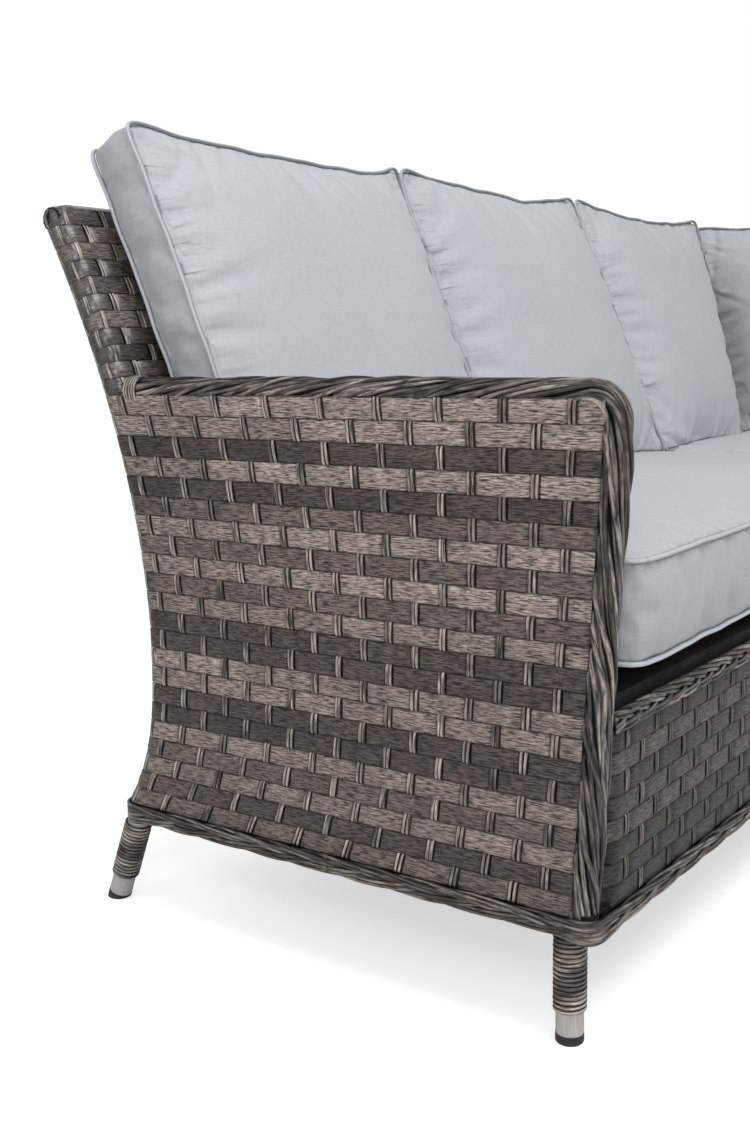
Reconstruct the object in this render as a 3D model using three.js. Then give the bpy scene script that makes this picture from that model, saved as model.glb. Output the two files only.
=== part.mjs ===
// Rattan garden sofa: a two-seat run with a left arm that ends in a corner seat.
// Millimetres, +Z up, +X along the sofa, +Y towards its back. Sizes are worked out in a frame whose
// x = 0 is the outer face of the arm and whose z = 0 is the ground. The group is then moved so that
// its origin lies under the middle of the sofa.
import * as THREE from 'three';

// Overall sizes
const armHeight = 650;
const backRise = 203;
const apronTop = 313;
const deckTop = 350;
const panelBottom = 139;
const clearance = 0.3;

// Tubes and woven skins
const tubeDiameter = 28;
const tubeWall = 1.5;
const skinThickness = 3.7;
const railWidth = 24;
const railWall = 1.5;
const barWidth = 25;

// Back profile: it stands upright at the waist, flares out to the foot and sweeps back to the top
const waistHeight = 345;
const backWaist = 566;
const topSweepShare = 0.313;
const footFlare = 49;
const sweepPower = 1.78;
const flarePower = 3;

// Arm
const armFrontAtFoot = 4.7;
const armLean = 0.0635;
const armCornerRadius = 20;
const collarLength = 16;
const collarThickness = 2.2;
const collarSetback = 10;

// Apron and braids
const apronFace = -18;
const braidHeight = 21.7;
const braidStand = 6;
const apronBraidHeight = 24.8;

// Legs
const legTop = 116.7;
const footHeight = 10;
const footChamfer = 2;
const plugDepth = 16;
const sideInset = 20;
const frontInset = 35;
const rearInset = 8;
const rearSplay = 46;
const midLegPastBench = 5;

// Winding round each leg: turns of a flat strand
const windingTurns = 14;
const windingPitch = 5.4;
const strandWidth = 4.7;
const strandThickness = 2;
const windingStart = 32;
const windingSlack = 1.4;

// Seat cushions
const seatSeamTop = 478;
const seatBoxing = 99;
const seatCrown = 15;
const seatFront = -36;
const seatRear = 515;
const benchLeft = 52;
const benchLength = 1130;
const cornerSeatLength = 648;
const seatSpacing = 8;
const returnSpacing = 7;

// Back cushions
const cushionLeft = 60;
const cushionEndSpacing = 2;
const cushionSpacing = 8;
const cushionAboveBack = 91;
const cushionStandoff = 94.9;
const cushionExtraLean = 0.0309;
const cushionBoxing = 66;
const frontCrown = 46;
const rearCrown = 19.7;
const footSettle = 10;
const cornerCushionInset = 73;
const returnCushionWidth = 575;
const returnCushionReach = 70;

// All cushions
const cushionBulge = 3;
const seamDraw = 9;
const cornerPower = 12;
const sidePoints = 8;
const ringShares = [0.4, 0.7, 0.9, 1];
const crownPower = 2.6;

// How finely round shapes are cut
const tubeSides = 12;
const halfRingSteps = 10;
const braidSides = 12;
const profileSteps = 14;
const rollSteps = 8;
const arcSteps = 8;
const windingSteps = 8;

// Worked out from the sizes above
const tubeRadius = tubeDiameter / 2;
const skinInner = skinThickness + clearance;
const panelThickness = tubeDiameter + 2 * skinInner;
const panelMiddle = panelThickness / 2;
const backHeight = armHeight + backRise;
const topSweep = topSweepShare * (backHeight - waistHeight);
const cornerLeft = benchLeft + benchLength + seatSpacing;
const mitre = cornerLeft + cornerSeatLength + returnSpacing + panelThickness - backWaist;
const midLegPlace = benchLeft + benchLength + midLegPastBench;
const armAxisHeight = armHeight - panelMiddle;
const railTop = panelBottom + 2 - clearance;
const railHeight = railTop - legTop - clearance;
const deckBottom = deckTop - 2 * skinInner + clearance;
const seatRailTop = deckBottom - clearance;
const cushionBase = seatSeamTop + seatCrown + clearance + cushionBulge - footSettle;

const group = new THREE.Group();
const fibre = (colour) => new THREE.MeshStandardMaterial({ color: colour, roughness: 0.62, metalness: 0 });
const weaveLook = fibre(0x766c63);
const braidLook = fibre(0x5d554e);
const clothLook = new THREE.MeshStandardMaterial({ color: 0xbec0c5, roughness: 0.9, metalness: 0 });
const tubeLook = new THREE.MeshStandardMaterial({ color: 0xb3a89c, roughness: 0.45, metalness: 0.6 });
const rubberLook = new THREE.MeshStandardMaterial({ color: 0x1c1b1b, roughness: 0.7, metalness: 0 });

function add(name, geometry, look) {
  const mesh = new THREE.Mesh(geometry, look);
  mesh.name = name;
  group.add(mesh);
  return mesh;
}

// A mesh from points and triangles, turned inside out where its volume comes out negative
function solid(points, faces) {
  let volume = 0;
  for (const [a, b, c] of faces) {
    volume += points[a].dot(new THREE.Vector3().crossVectors(points[b], points[c]));
  }
  const ordered = volume < 0 ? faces.map(([a, b, c]) => [a, c, b]) : faces;
  const geometry = new THREE.BufferGeometry();
  geometry.setAttribute('position', new THREE.Float32BufferAttribute(points.flatMap((p) => [p.x, p.y, p.z]), 3));
  geometry.setIndex(ordered.flat());
  geometry.computeVertexNormals();
  return geometry;
}

// Walls between rings with the same number of points; either both ends get a flat lid, whose
// triangles come from the plan of the ring, or the last ring joins the first one
function loft(rings, plan) {
  const count = rings[0].length;
  const points = rings.flat();
  const faces = [];
  const last = plan ? rings.length - 1 : rings.length;
  for (let i = 0; i < last; i += 1) {
    for (let j = 0; j < count; j += 1) {
      const next = ((i + 1) % rings.length) * count;
      const k = (j + 1) % count;
      faces.push([i * count + j, i * count + k, next + k], [i * count + j, next + k, next + j]);
    }
  }
  if (plan) {
    const lid = THREE.ShapeUtils.triangulateShape(plan, []);
    const end = (rings.length - 1) * count;
    const turned = THREE.ShapeUtils.area(plan) < 0;
    for (const [a, b, c] of lid) {
      const start = turned ? [a, b, c] : [a, c, b];
      const finish = turned ? [a, c, b] : [a, b, c];
      faces.push(start, finish.map((n) => n + end));
    }
  }
  return solid(points, faces);
}

function circlePlan(sides, radiusX, radiusY = radiusX) {
  return Array.from({ length: sides }, (_, i) => {
    const angle = (2 * Math.PI * (i + 0.5)) / sides;
    return new THREE.Vector2(radiusX * Math.cos(angle), radiusY * Math.sin(angle));
  });
}

// Puts a flat plan on a path: at each point the plan lies square to the path, with its own x along side
function placeRings(path, side, plan) {
  return path.map((point, i) => {
    const before = path[Math.max(i - 1, 0)];
    const after = path[Math.min(i + 1, path.length - 1)];
    const along = new THREE.Vector3().subVectors(after, before).normalize();
    const up = new THREE.Vector3().crossVectors(along, side).normalize();
    const across = new THREE.Vector3().crossVectors(up, along);
    return plan.map((p) => point.clone().addScaledVector(across, p.x).addScaledVector(up, p.y));
  });
}

function roundTube(path, side, radius, wall) {
  const outer = placeRings(path, side, circlePlan(tubeSides, radius));
  const inner = placeRings(path, side, circlePlan(tubeSides, radius - wall));
  return loft([...outer, ...inner.reverse()], null);
}

// A rectangular tube between two corners, open at both ends along the given axis
function boxTube(low, high, axis, wall) {
  const [u, v] = ['x', 'y', 'z'].filter((name) => name !== axis);
  const ring = (place, inset) => [[0, 0], [1, 0], [1, 1], [0, 1]].map(([a, b]) => {
    const point = new THREE.Vector3();
    point[axis] = place;
    point[u] = a ? high[u] - inset : low[u] + inset;
    point[v] = b ? high[v] - inset : low[v] + inset;
    return point;
  });
  return loft([ring(low[axis], 0), ring(high[axis], 0), ring(high[axis], wall), ring(low[axis], wall)], null);
}

const at = (x, y, z) => new THREE.Vector3(x, y, z);
const sideways = at(1, 0, 0);

// Back profile: how far the outer face stands behind the waist at a height, and its slope there
const upperShare = (z) => Math.max(z - waistHeight, 0) / (backHeight - waistHeight);
const lowerShare = (z) => Math.max(waistHeight - z, 0) / (waistHeight - panelBottom);
const flare = (z) => topSweep * upperShare(z) ** sweepPower + footFlare * lowerShare(z) ** flarePower;
const profileStep = clearance;
const slope = (z) => (flare(z + profileStep) - flare(z - profileStep)) / (2 * profileStep);

// A point of the back panel, as deep below its outer face as asked for
function panelPoint(z, depth) {
  const angle = Math.atan(slope(z));
  return new THREE.Vector2(backWaist + flare(z) - depth * Math.cos(angle), z + depth * Math.sin(angle));
}

// The top roll turns round the top rail; the outer face meets the roll where both have one tangent
const topAngle = Math.atan(slope(backHeight - panelMiddle));
const rollStart = backHeight - panelMiddle - panelMiddle * Math.sin(topAngle);
const topAxis = panelPoint(rollStart, panelMiddle);

// Every strip and tube of a back is cut at the same heights, so that their flats stay side by side
const profileGrid = Array.from({ length: profileSteps + 1 },
  (_, i) => panelBottom + ((backHeight - panelBottom) * i) / profileSteps);
const levelsBetween = (from, to) => [from, ...profileGrid.filter((z) => z > from && z < to), to];

// Cuts a panel strip in the main back: it runs from the given x to the mitre at the corner
function backStrip(outer, inner, left, spacing) {
  const rings = outer.map((p, i) => {
    const q = inner[i];
    return [at(left, p.x, p.y), at(p.x + mitre - spacing, p.x, p.y),
      at(q.x + mitre - spacing, q.x, q.y), at(left, q.x, q.y)];
  });
  const plan = [[0, 0], [1, 0], [1, 1], [0, 1]].map(([x, y]) => new THREE.Vector2(x, y));
  return loft(rings, plan);
}

// The return back mirrors the main back in the upright plane through the corner's mitre
function acrossMitre(geometry) {
  const position = geometry.getAttribute('position');
  const points = [];
  for (let i = 0; i < position.count; i += 1) {
    points.push(at(position.getY(i) + mitre, position.getX(i) - mitre, position.getZ(i)));
  }
  const index = Array.from(geometry.getIndex().array);
  const faces = [];
  for (let i = 0; i < index.length; i += 3) faces.push(index.slice(i, i + 3));
  return solid(points, faces);
}

function outerSkin(left) {
  const levels = levelsBetween(panelBottom + skinThickness, rollStart);
  const outer = levels.map((z) => panelPoint(z, 0));
  const inner = levels.map((z) => panelPoint(z, skinThickness));
  for (let i = 1; i <= rollSteps; i += 1) {
    const angle = -topAngle + (Math.PI * i) / rollSteps;
    const turn = new THREE.Vector2(Math.cos(angle), Math.sin(angle));
    outer.push(topAxis.clone().addScaledVector(turn, panelMiddle));
    inner.push(topAxis.clone().addScaledVector(turn, panelMiddle - skinThickness));
  }
  return backStrip(outer, inner, left, clearance);
}

function innerSkin(left) {
  const levels = levelsBetween(deckTop + 2 * clearance, rollStart - clearance);
  const outer = levels.map((z) => panelPoint(z, panelThickness - skinThickness));
  const inner = levels.map((z) => panelPoint(z, panelThickness));
  return backStrip(outer, inner, left, clearance);
}

// The end of a back: an L that closes the end and turns round onto the inner face
function endSkin(left, from) {
  const levels = levelsBetween(from, rollStart - clearance);
  const corners = [[0, skinInner], [0, panelThickness], [panelThickness, panelThickness],
    [panelThickness, panelThickness - skinThickness], [skinThickness, panelThickness - skinThickness],
    [skinThickness, skinInner]];
  const rings = levels.map((z) => corners.map(([x, depth]) => {
    const p = panelPoint(z, depth);
    return at(left + x, p.x, p.y);
  }));
  return loft(rings, corners.map(([x, depth]) => new THREE.Vector2(x, depth)));
}

// Arm: the post leans forward, turns through a tight bend and runs level to the back
const armFront = (z) => armFrontAtFoot - (z - panelBottom) * armLean;

function roundedPath(start, corner, end, radius, steps) {
  const into = corner.clone().sub(start).normalize();
  const out = end.clone().sub(corner).normalize();
  const turn = Math.acos(into.dot(out));
  const reach = radius * Math.tan(turn / 2);
  const first = corner.clone().addScaledVector(into, -reach);
  const inward = new THREE.Vector2(into.y, -into.x);
  const centre = first.clone().addScaledVector(inward, radius);
  const path = [start];
  for (let i = 0; i <= steps; i += 1) {
    const angle = (turn * i) / steps;
    path.push(centre.clone().addScaledVector(inward, -radius * Math.cos(angle))
      .addScaledVector(into, radius * Math.sin(angle)));
  }
  path.push(end);
  return path;
}

const armEnd = panelPoint(armAxisHeight, panelThickness).x - clearance;
const armPath = (from, to) => roundedPath(new THREE.Vector2(armFront(from), from),
  new THREE.Vector2(armFront(armAxisHeight), armAxisHeight), new THREE.Vector2(to, armAxisHeight),
  armCornerRadius, arcSteps);
const inArm = (p) => at(panelMiddle, p.x, p.y);
const postFoot = railTop + 2 * clearance + panelMiddle * armLean;

function armTube() {
  const end = panelPoint(armAxisHeight - tubeDiameter, panelMiddle + tubeRadius).x - clearance;
  return roundTube(armPath(postFoot, end).map(inArm), sideways, tubeRadius, tubeWall);
}

// Half of a round shell, open towards the panel that it edges
function halfShell(path, outerRadius, innerRadius) {
  const arc = (radius, flip) => Array.from({ length: halfRingSteps + 1 }, (_, i) => {
    const angle = (Math.PI * (flip ? halfRingSteps - i : i)) / halfRingSteps;
    return new THREE.Vector2(radius * Math.cos(angle), radius * Math.sin(angle));
  });
  const plan = [...arc(outerRadius, false), ...arc(innerRadius, true)];
  return loft(placeRings(path, sideways.clone().negate(), plan), plan);
}

function armRim() {
  return halfShell(armPath(postFoot, armEnd).map(inArm), panelMiddle, tubeRadius + clearance);
}

function armCollar() {
  const end = armEnd - collarSetback;
  const path = [end - collarLength, end].map((y) => at(panelMiddle, y, armAxisHeight));
  const inner = panelMiddle + clearance;
  return halfShell(path, inner + collarThickness, inner);
}

// A flat arm skin between the post, the top tube and the back
function armSkin(left, from, backDepth) {
  const top = armAxisHeight - clearance;
  const shift = clearance;
  const front = roundedPath(new THREE.Vector2(armFront(from) + shift, from),
    new THREE.Vector2(armFront(top) + shift, top), new THREE.Vector2(armEnd, top), armCornerRadius, arcSteps);
  const upper = levelsBetween(from, top).reverse().map((z) => {
    const p = panelPoint(z, backDepth);
    return new THREE.Vector2(p.x, z);
  });
  const shape = new THREE.Shape([...front.slice(0, -1), ...upper]);
  const geometry = new THREE.ExtrudeGeometry(shape, { depth: skinThickness, bevelEnabled: false });
  const turned = new THREE.Matrix4().makeBasis(at(0, 1, 0), at(0, 0, 1), at(1, 0, 0));
  geometry.applyMatrix4(turned.setPosition(left, 0, 0));
  return geometry;
}

// Apron: a flat skin whose right edge follows the return back
function apronSkin() {
  const levels = levelsBetween(panelBottom, apronTop - clearance);
  const rings = levels.map((z) => {
    const right = backWaist + mitre + flare(z) - skinInner * Math.hypot(1, slope(z));
    return [at(panelThickness + clearance, apronFace, z), at(right, apronFace, z),
      at(right, apronFace + skinThickness, z), at(panelThickness + clearance, apronFace + skinThickness, z)];
  });
  return loft(rings, [[0, 0], [1, 0], [1, 1], [0, 1]].map(([x, y]) => new THREE.Vector2(x, y)));
}

// A braid as a plain oval bar between two points
function braidBar(from, to, height) {
  const plan = circlePlan(braidSides, (braidStand + skinThickness) / 2, height / 2);
  const along = new THREE.Vector3().subVectors(to, from);
  const side = new THREE.Vector3().crossVectors(along, at(0, 0, 1)).normalize();
  return loft(placeRings([from, to], side, plan), plan);
}

// Cushion: two crowned faces on a boxing band, with sides drawn in between the corners.
// place takes (u, v, w): u and v from 0 to 1 over the face, w from the first face to the second
function cushionOutline() {
  const reach = 2 ** (-1 / cornerPower);
  const side = Array.from({ length: sidePoints }, (_, i) => {
    const b = reach * Math.sin((Math.PI / 2) * ((2 * i) / sidePoints - 1));
    return [(1 - Math.abs(b) ** cornerPower) ** (1 / cornerPower), b];
  });
  const turns = [([a, b]) => [a, b], ([a, b]) => [-b, a], ([a, b]) => [-a, -b], ([a, b]) => [b, -a]];
  return turns.flatMap((turn) => side.map(turn));
}

function cushion({ width, height, boxing, crowns, place }) {
  const outline = cushionOutline();
  const point = ([a, b], grow, w) => {
    const drawX = seamDraw * (1 - b * b) - grow;
    const drawY = seamDraw * (1 - a * a) - grow;
    const u = (a * (width / 2 - drawX)) + width / 2;
    const v = (b * (height / 2 - drawY)) + height / 2;
    return place(u, v, w);
  };
  const crownRing = (share, crown, w, outward) => outline.map(([a, b]) => {
    const rise = crown * (1 - share ** crownPower);
    return point([a * share, b * share], 0, w + outward * rise);
  });
  const rings = [
    ...ringShares.map((share) => crownRing(share, crowns[0], 0, -1)),
    outline.map((p) => point(p, cushionBulge, boxing / 2)),
    ...[...ringShares].reverse().map((share) => crownRing(share, crowns[1], boxing, 1)),
  ];
  const count = outline.length;
  const points = [...rings.flat(), point([0, 0], 0, -crowns[0]), point([0, 0], 0, boxing + crowns[1])];
  const faces = [];
  for (let i = 0; i + 1 < rings.length; i += 1) {
    for (let j = 0; j < count; j += 1) {
      const k = (j + 1) % count;
      faces.push([i * count + j, i * count + k, (i + 1) * count + k]);
      faces.push([i * count + j, (i + 1) * count + k, (i + 1) * count + j]);
    }
  }
  const end = (rings.length - 1) * count;
  for (let j = 0; j < count; j += 1) {
    const k = (j + 1) % count;
    faces.push([points.length - 2, k, j], [points.length - 1, end + j, end + k]);
  }
  return solid(points, faces);
}

function seatCushion(left, length) {
  return cushion({
    width: length,
    height: seatRear - seatFront,
    boxing: seatBoxing,
    crowns: [seatCrown, seatSeamTop - seatBoxing - deckTop - clearance],
    place: (u, v, w) => at(left + u, seatFront + v, seatSeamTop - w),
  });
}

// Back cushions lean a little more than the back's inner face does between their foot and its top,
// and they keep their distance from that face halfway up
const cushionTopSeam = backHeight + cushionAboveBack;
const cushionLean = (flare(backHeight) - flare(cushionBase)) / (backHeight - cushionBase) + cushionExtraLean;
const cushionHalfway = (backHeight + cushionBase) / 2;
const cushionTopFront = backWaist + flare(cushionHalfway) - panelThickness - cushionStandoff
  + (cushionTopSeam - cushionHalfway) * cushionLean;

// A back cushion leans back; its foot is cut level where it stands on the seat cushion.
// foot is its width at the bottom: a corner cushion narrows towards it, along the lean of its neighbour
function backCushion(left, width, foot) {
  const rise = cushionTopSeam - cushionBase;
  const height = rise * Math.hypot(1, cushionLean);
  const up = new THREE.Vector2(cushionLean, 1).normalize();
  const level = new THREE.Vector2(1, 0);
  const square = new THREE.Vector2(up.y, -up.x);
  const front = cushionTopFront - rise * cushionLean;
  return cushion({
    width,
    height,
    boxing: cushionBoxing,
    crowns: [frontCrown, rearCrown],
    place: (u, v, w) => {
      const share = v / height;
      const narrowed = u * (foot + (width - foot) * share) / width;
      const depth = level.clone().lerp(square, share).normalize();
      return at(left + narrowed, front + up.x * v + depth.x * w, cushionBase + up.y * v + depth.y * w);
    },
  });
}

// Legs: each has a tube, a winding and a foot cap on one straight axis
const legFront = apronFace + frontInset;
const legRear = backWaist + footFlare - rearInset;
const legRight = legRear + mitre;
const legs = [
  ['front_left', sideInset, legFront, 0, 0],
  ['front_mid', midLegPlace, legFront, 0, 0],
  ['front_right', legRight, legFront, rearSplay, 0],
  ['rear_left', sideInset, legRear, 0, rearSplay],
  ['rear_mid', midLegPlace, legRear, 0, rearSplay],
  ['rear_right', legRight, legRear, rearSplay, rearSplay],
];

function legAxis([, x, y, splayX, splayY]) {
  const top = at(x, y, legTop);
  const foot = at(x + splayX, y + splayY, 0);
  const down = foot.clone().sub(top).normalize();
  const seated = splayX && splayY ? tubeRadius : tubeRadius - skinInner;
  const tilt = seated * Math.hypot(down.x, down.y);
  return { top: top.clone().addScaledVector(down, tilt), foot, down };
}

function legTube(leg) {
  const { top, foot, down } = legAxis(leg);
  const end = foot.clone().addScaledVector(down, -footHeight - clearance);
  return roundTube([top, end], sideways, tubeRadius, tubeWall);
}

// The foot cap is flat on the ground; its plug goes up inside the tube
function footCap(leg) {
  const { foot, down } = legAxis(leg);
  const plan = circlePlan(tubeSides, tubeRadius);
  const square = (back, radius) => {
    const centre = foot.clone().addScaledVector(down, -back);
    const scaled = plan.map((p) => p.clone().multiplyScalar(radius / tubeRadius));
    return placeRings([centre, centre.clone().sub(down)], sideways, scaled)[0];
  };
  const toFloor = (ring, height) => ring.map((p) => p.clone().addScaledVector(down, (height - p.z) / down.z));
  const plug = tubeRadius - tubeWall - 2 * clearance;
  const rings = [
    toFloor(square(0, tubeRadius - footChamfer), 0),
    toFloor(square(0, tubeRadius), footChamfer),
    square(footHeight, tubeRadius),
    square(footHeight, plug),
    square(footHeight + plugDepth, plug),
  ];
  return loft(rings, plan);
}

// The winding climbs round the tube; both ends leave the last turn straight, one strand width long
function windingPath(leg) {
  const { foot, down } = legAxis(leg);
  const up = down.clone().negate();
  const across = new THREE.Vector3().crossVectors(at(0, 1, 0), up).normalize();
  const round = new THREE.Vector3().crossVectors(up, across);
  const radius = tubeRadius + windingSlack + strandThickness / 2;
  const start = foot.clone().addScaledVector(up, windingStart / up.z);
  const steps = windingTurns * windingSteps;
  const place = (i) => {
    const angle = (2 * Math.PI * i) / windingSteps;
    const outward = across.clone().multiplyScalar(Math.cos(angle)).addScaledVector(round, Math.sin(angle));
    const rise = (windingPitch * i) / windingSteps + strandWidth / 2;
    return { point: start.clone().addScaledVector(up, rise).addScaledVector(outward, radius), outward };
  };
  const path = Array.from({ length: steps + 1 }, (_, i) => place(i));
  const straight = (from, to) => ({
    point: to.point.clone().addScaledVector(to.point.clone().sub(from.point).normalize(), strandWidth),
    outward: to.outward,
  });
  return { path: [straight(path[1], path[0]), ...path, straight(path[steps - 1], path[steps])], up };
}

function winding(leg) {
  const { path, up } = windingPath(leg);
  const corners = [[-1, -1], [1, -1], [1, 1], [-1, 1]];
  const rings = path.map(({ point, outward }) => corners.map(([a, b]) => point.clone()
    .addScaledVector(outward, (a * strandThickness) / 2).addScaledVector(up, (b * strandWidth) / 2)));
  return loft(rings, corners.map(([x, y]) => new THREE.Vector2(x, y)));
}

// Least gap between one turn and the next, measured on points along the strand's two edges
function windingGap(leg) {
  const { path, up } = windingPath(leg);
  const reach = 2;
  let least = Infinity;
  for (let i = 0; i + windingSteps < path.length; i += 1) {
    const upper = path[i].point.clone().addScaledVector(up, strandWidth / 2);
    for (let j = i + windingSteps - reach; j <= Math.min(i + windingSteps + reach, path.length - 1); j += 1) {
      const lower = path[j].point.clone().addScaledVector(up, -strandWidth / 2);
      const climb = lower.clone().sub(upper).dot(up);
      if (upper.distanceTo(lower) < windingPitch) least = Math.min(least, climb);
    }
  }
  return least;
}

// Uprights follow the middle of the back panel, from the bottom rail to the top rail
function uprightPath() {
  const footAngle = Math.atan(-slope(panelBottom + tubeRadius));
  const start = railTop + clearance + (panelMiddle + tubeRadius) * Math.sin(footAngle);
  const end = rollStart - tubeRadius - tubeRadius / 2;
  return levelsBetween(start, end).map((z) => panelPoint(z, panelMiddle));
}
const upright = (x) => roundTube(uprightPath().map((p) => at(x, p.x, p.y)), sideways, tubeRadius, tubeWall);
const cornerUpright = () => roundTube(uprightPath().map((p) => at(p.x + mitre, p.x, p.y)),
  at(1, -1, 0).normalize(), tubeRadius, tubeWall);

// The return back's front end lies on the apron's face, measured in the mirrored frame
const returnStart = apronFace + mitre;

// Woven skins
add('arm_weave_outer', armSkin(0, panelBottom, skinInner * 2), weaveLook);
add('arm_weave_inner', armSkin(panelThickness - skinThickness, deckTop + clearance, panelThickness + skinInner),
  weaveLook);
add('back_weave_outer', outerSkin(0), weaveLook);
add('back_weave_inner', innerSkin(panelThickness + clearance), weaveLook);
add('back_end_weave', endSkin(0, armHeight), weaveLook);
add('return_weave_outer', acrossMitre(outerSkin(returnStart)), weaveLook);
add('return_weave_inner', acrossMitre(innerSkin(returnStart + panelThickness + clearance)), weaveLook);
add('return_end_weave', acrossMitre(endSkin(returnStart, deckTop + 2 * clearance)), weaveLook);
add('apron_weave', apronSkin(), weaveLook);

// Seat deck: a woven sheet across the rails
const innerBack = backWaist - panelThickness + skinThickness;
function deckSheet() {
  const low = at(panelThickness + clearance, apronFace + skinInner, deckBottom);
  const high = at(innerBack + mitre, innerBack, deckTop);
  const size = high.clone().sub(low);
  const geometry = new THREE.BoxGeometry(size.x, size.y, size.z);
  geometry.translate(...low.clone().add(high).multiplyScalar(0.5).toArray());
  return geometry;
}
add('seat_deck_weave', deckSheet(), weaveLook);

// Braids
add('arm_rim_braid', armRim(), braidLook);
add('arm_braid_collar', armCollar(), braidLook);
const braidMiddle = (braidStand - skinThickness) / 2;
const braidFront = apronFace - braidMiddle;
const footLine = backWaist + footFlare;
const bottomBraid = legTop + clearance + braidHeight / 2;
const apronBraid = apronTop + apronBraidHeight / 2;
add('apron_top_braid', braidBar(at(panelThickness + clearance, braidFront, apronBraid),
  at(backWaist + mitre - skinInner, braidFront, apronBraid), apronBraidHeight), braidLook);
add('bottom_braid_front', braidBar(at(skinInner, braidFront, bottomBraid),
  at(footLine + mitre - skinInner, braidFront, bottomBraid), braidHeight), braidLook);
add('bottom_braid_left', braidBar(at(-braidMiddle, apronFace - braidStand, bottomBraid),
  at(-braidMiddle, footLine + braidStand, bottomBraid), braidHeight), braidLook);
add('bottom_braid_rear', braidBar(at(skinInner, footLine + braidMiddle, bottomBraid),
  at(footLine + mitre - skinInner, footLine + braidMiddle, bottomBraid), braidHeight), braidLook);
add('bottom_braid_right', braidBar(at(footLine + mitre + braidMiddle, apronFace - braidStand, bottomBraid),
  at(footLine + mitre + braidMiddle, footLine + braidStand, bottomBraid), braidHeight), braidLook);

// Tube frame: arm, uprights and top rails
add('arm_tube', armTube(), tubeLook);
add('upright_rear_left', upright(panelMiddle), tubeLook);
add('upright_rear_mid', upright(midLegPlace), tubeLook);
add('upright_corner', cornerUpright(), tubeLook);
add('upright_return', acrossMitre(upright(returnStart + panelMiddle)), tubeLook);
const topRail = (left, right) => roundTube([at(left, topAxis.x, topAxis.y), at(right, topAxis.x, topAxis.y)],
  at(0, 1, 0), tubeRadius, tubeWall);
add('top_rail_back', topRail(skinInner, topAxis.x + mitre - tubeRadius - clearance), tubeLook);
add('top_rail_return', acrossMitre(topRail(returnStart + skinInner, topAxis.x + mitre)), tubeLook);

// Bottom rails and seat rails: rectangular tubes between the panels
const railLow = railTop - railHeight;
const railRear = footLine - 2 * skinInner;
const innerRight = railRear + mitre - railWidth;
const rails = [
  ['bottom_rail_left', at(skinInner, apronFace + skinInner, railLow),
    at(skinInner + railWidth, railRear, railTop), 'y'],
  ['bottom_rail_front', at(skinInner + railWidth + clearance, apronFace + skinInner, railLow),
    at(innerRight - clearance, apronFace + skinInner + railWidth, railTop), 'x'],
  ['bottom_rail_rear', at(skinInner + railWidth + clearance, railRear - railWidth, railLow),
    at(innerRight - clearance, railRear, railTop), 'x'],
  ['bottom_rail_right', at(innerRight, apronFace + skinInner, railLow),
    at(innerRight + railWidth, railRear, railTop), 'y'],
];
const seatLow = seatRailTop - barWidth;
const rearLine = backWaist - skinInner - tubeDiameter - clearance;
const postRear = armFront(seatLow) + tubeRadius + clearance;
const frontRailRear = apronFace + skinInner + barWidth;
rails.push(
  ['seat_rail_front', at(panelThickness + clearance, apronFace + skinInner, seatLow),
    at(rearLine + mitre, frontRailRear, seatRailTop), 'x'],
  ['seat_rail_left', at(skinInner, postRear, seatLow), at(panelThickness - skinInner, rearLine, seatRailTop), 'y'],
  ['seat_rail_rear', at(panelThickness - skinInner + clearance, rearLine - barWidth, seatLow),
    at(rearLine + mitre, rearLine, seatRailTop), 'x'],
  ['seat_rail_return', at(rearLine + mitre - barWidth, frontRailRear + clearance, seatLow),
    at(rearLine + mitre, rearLine - barWidth - clearance, seatRailTop), 'y'],
);
const barPlaces = [midLegPlace / 2, midLegPlace];
barPlaces.forEach((x, i) => rails.push([`seat_bar_${i + 1}`,
  at(x - barWidth / 2, frontRailRear + clearance, seatLow),
  at(x + barWidth / 2, rearLine - barWidth - clearance, seatRailTop), 'y']));
rails.push(['apron_post', at(midLegPlace - barWidth / 2, apronFace + skinInner, railTop + clearance),
  at(midLegPlace + barWidth / 2, frontRailRear, seatLow - clearance), 'z']);
for (const [name, low, high, axis] of rails) add(name, boxTube(low, high, axis, railWall), tubeLook);

// Legs with their windings and foot caps
for (const leg of legs) {
  add(`leg_${leg[0]}`, legTube(leg), tubeLook);
  add(`leg_winding_${leg[0]}`, winding(leg), braidLook);
  add(`foot_cap_${leg[0]}`, footCap(leg), rubberLook);
}
console.log('winding gap', Math.min(...legs.map(windingGap)).toFixed(2));

// Cushions
add('seat_cushion_bench', seatCushion(benchLeft, benchLength), clothLook);
add('seat_cushion_corner', seatCushion(cornerLeft, cornerSeatLength), clothLook);
const secondRight = benchLeft + benchLength - cushionEndSpacing;
const cushionWidth = (secondRight - cushionLeft - cushionSpacing) / 2;
const footNarrowing = (cushionTopSeam - cushionBase) * cushionLean;
const cornerCushionWidth = cornerSeatLength - cornerCushionInset;
const returnCushionEnd = cushionTopFront + returnCushionReach + mitre;
add('back_cushion_1', backCushion(cushionLeft, cushionWidth, cushionWidth), clothLook);
add('back_cushion_2', backCushion(secondRight - cushionWidth, cushionWidth, cushionWidth), clothLook);
add('back_cushion_3', backCushion(cornerLeft, cornerCushionWidth, cornerCushionWidth - footNarrowing), clothLook);
add('back_cushion_4', acrossMitre(backCushion(returnCushionEnd - returnCushionWidth,
  returnCushionWidth, returnCushionWidth - footNarrowing)), clothLook);

// The origin lies on the ground under the middle of the sofa's box
const box = new THREE.Box3().setFromObject(group);
const middle = box.getCenter(at(0, 0, 0));
group.position.set(-middle.x, -middle.y, 0);

export default group;
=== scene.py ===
import math
import random
import bpy
import bmesh
import numpy as np
from mathutils import Matrix, Vector


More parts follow.
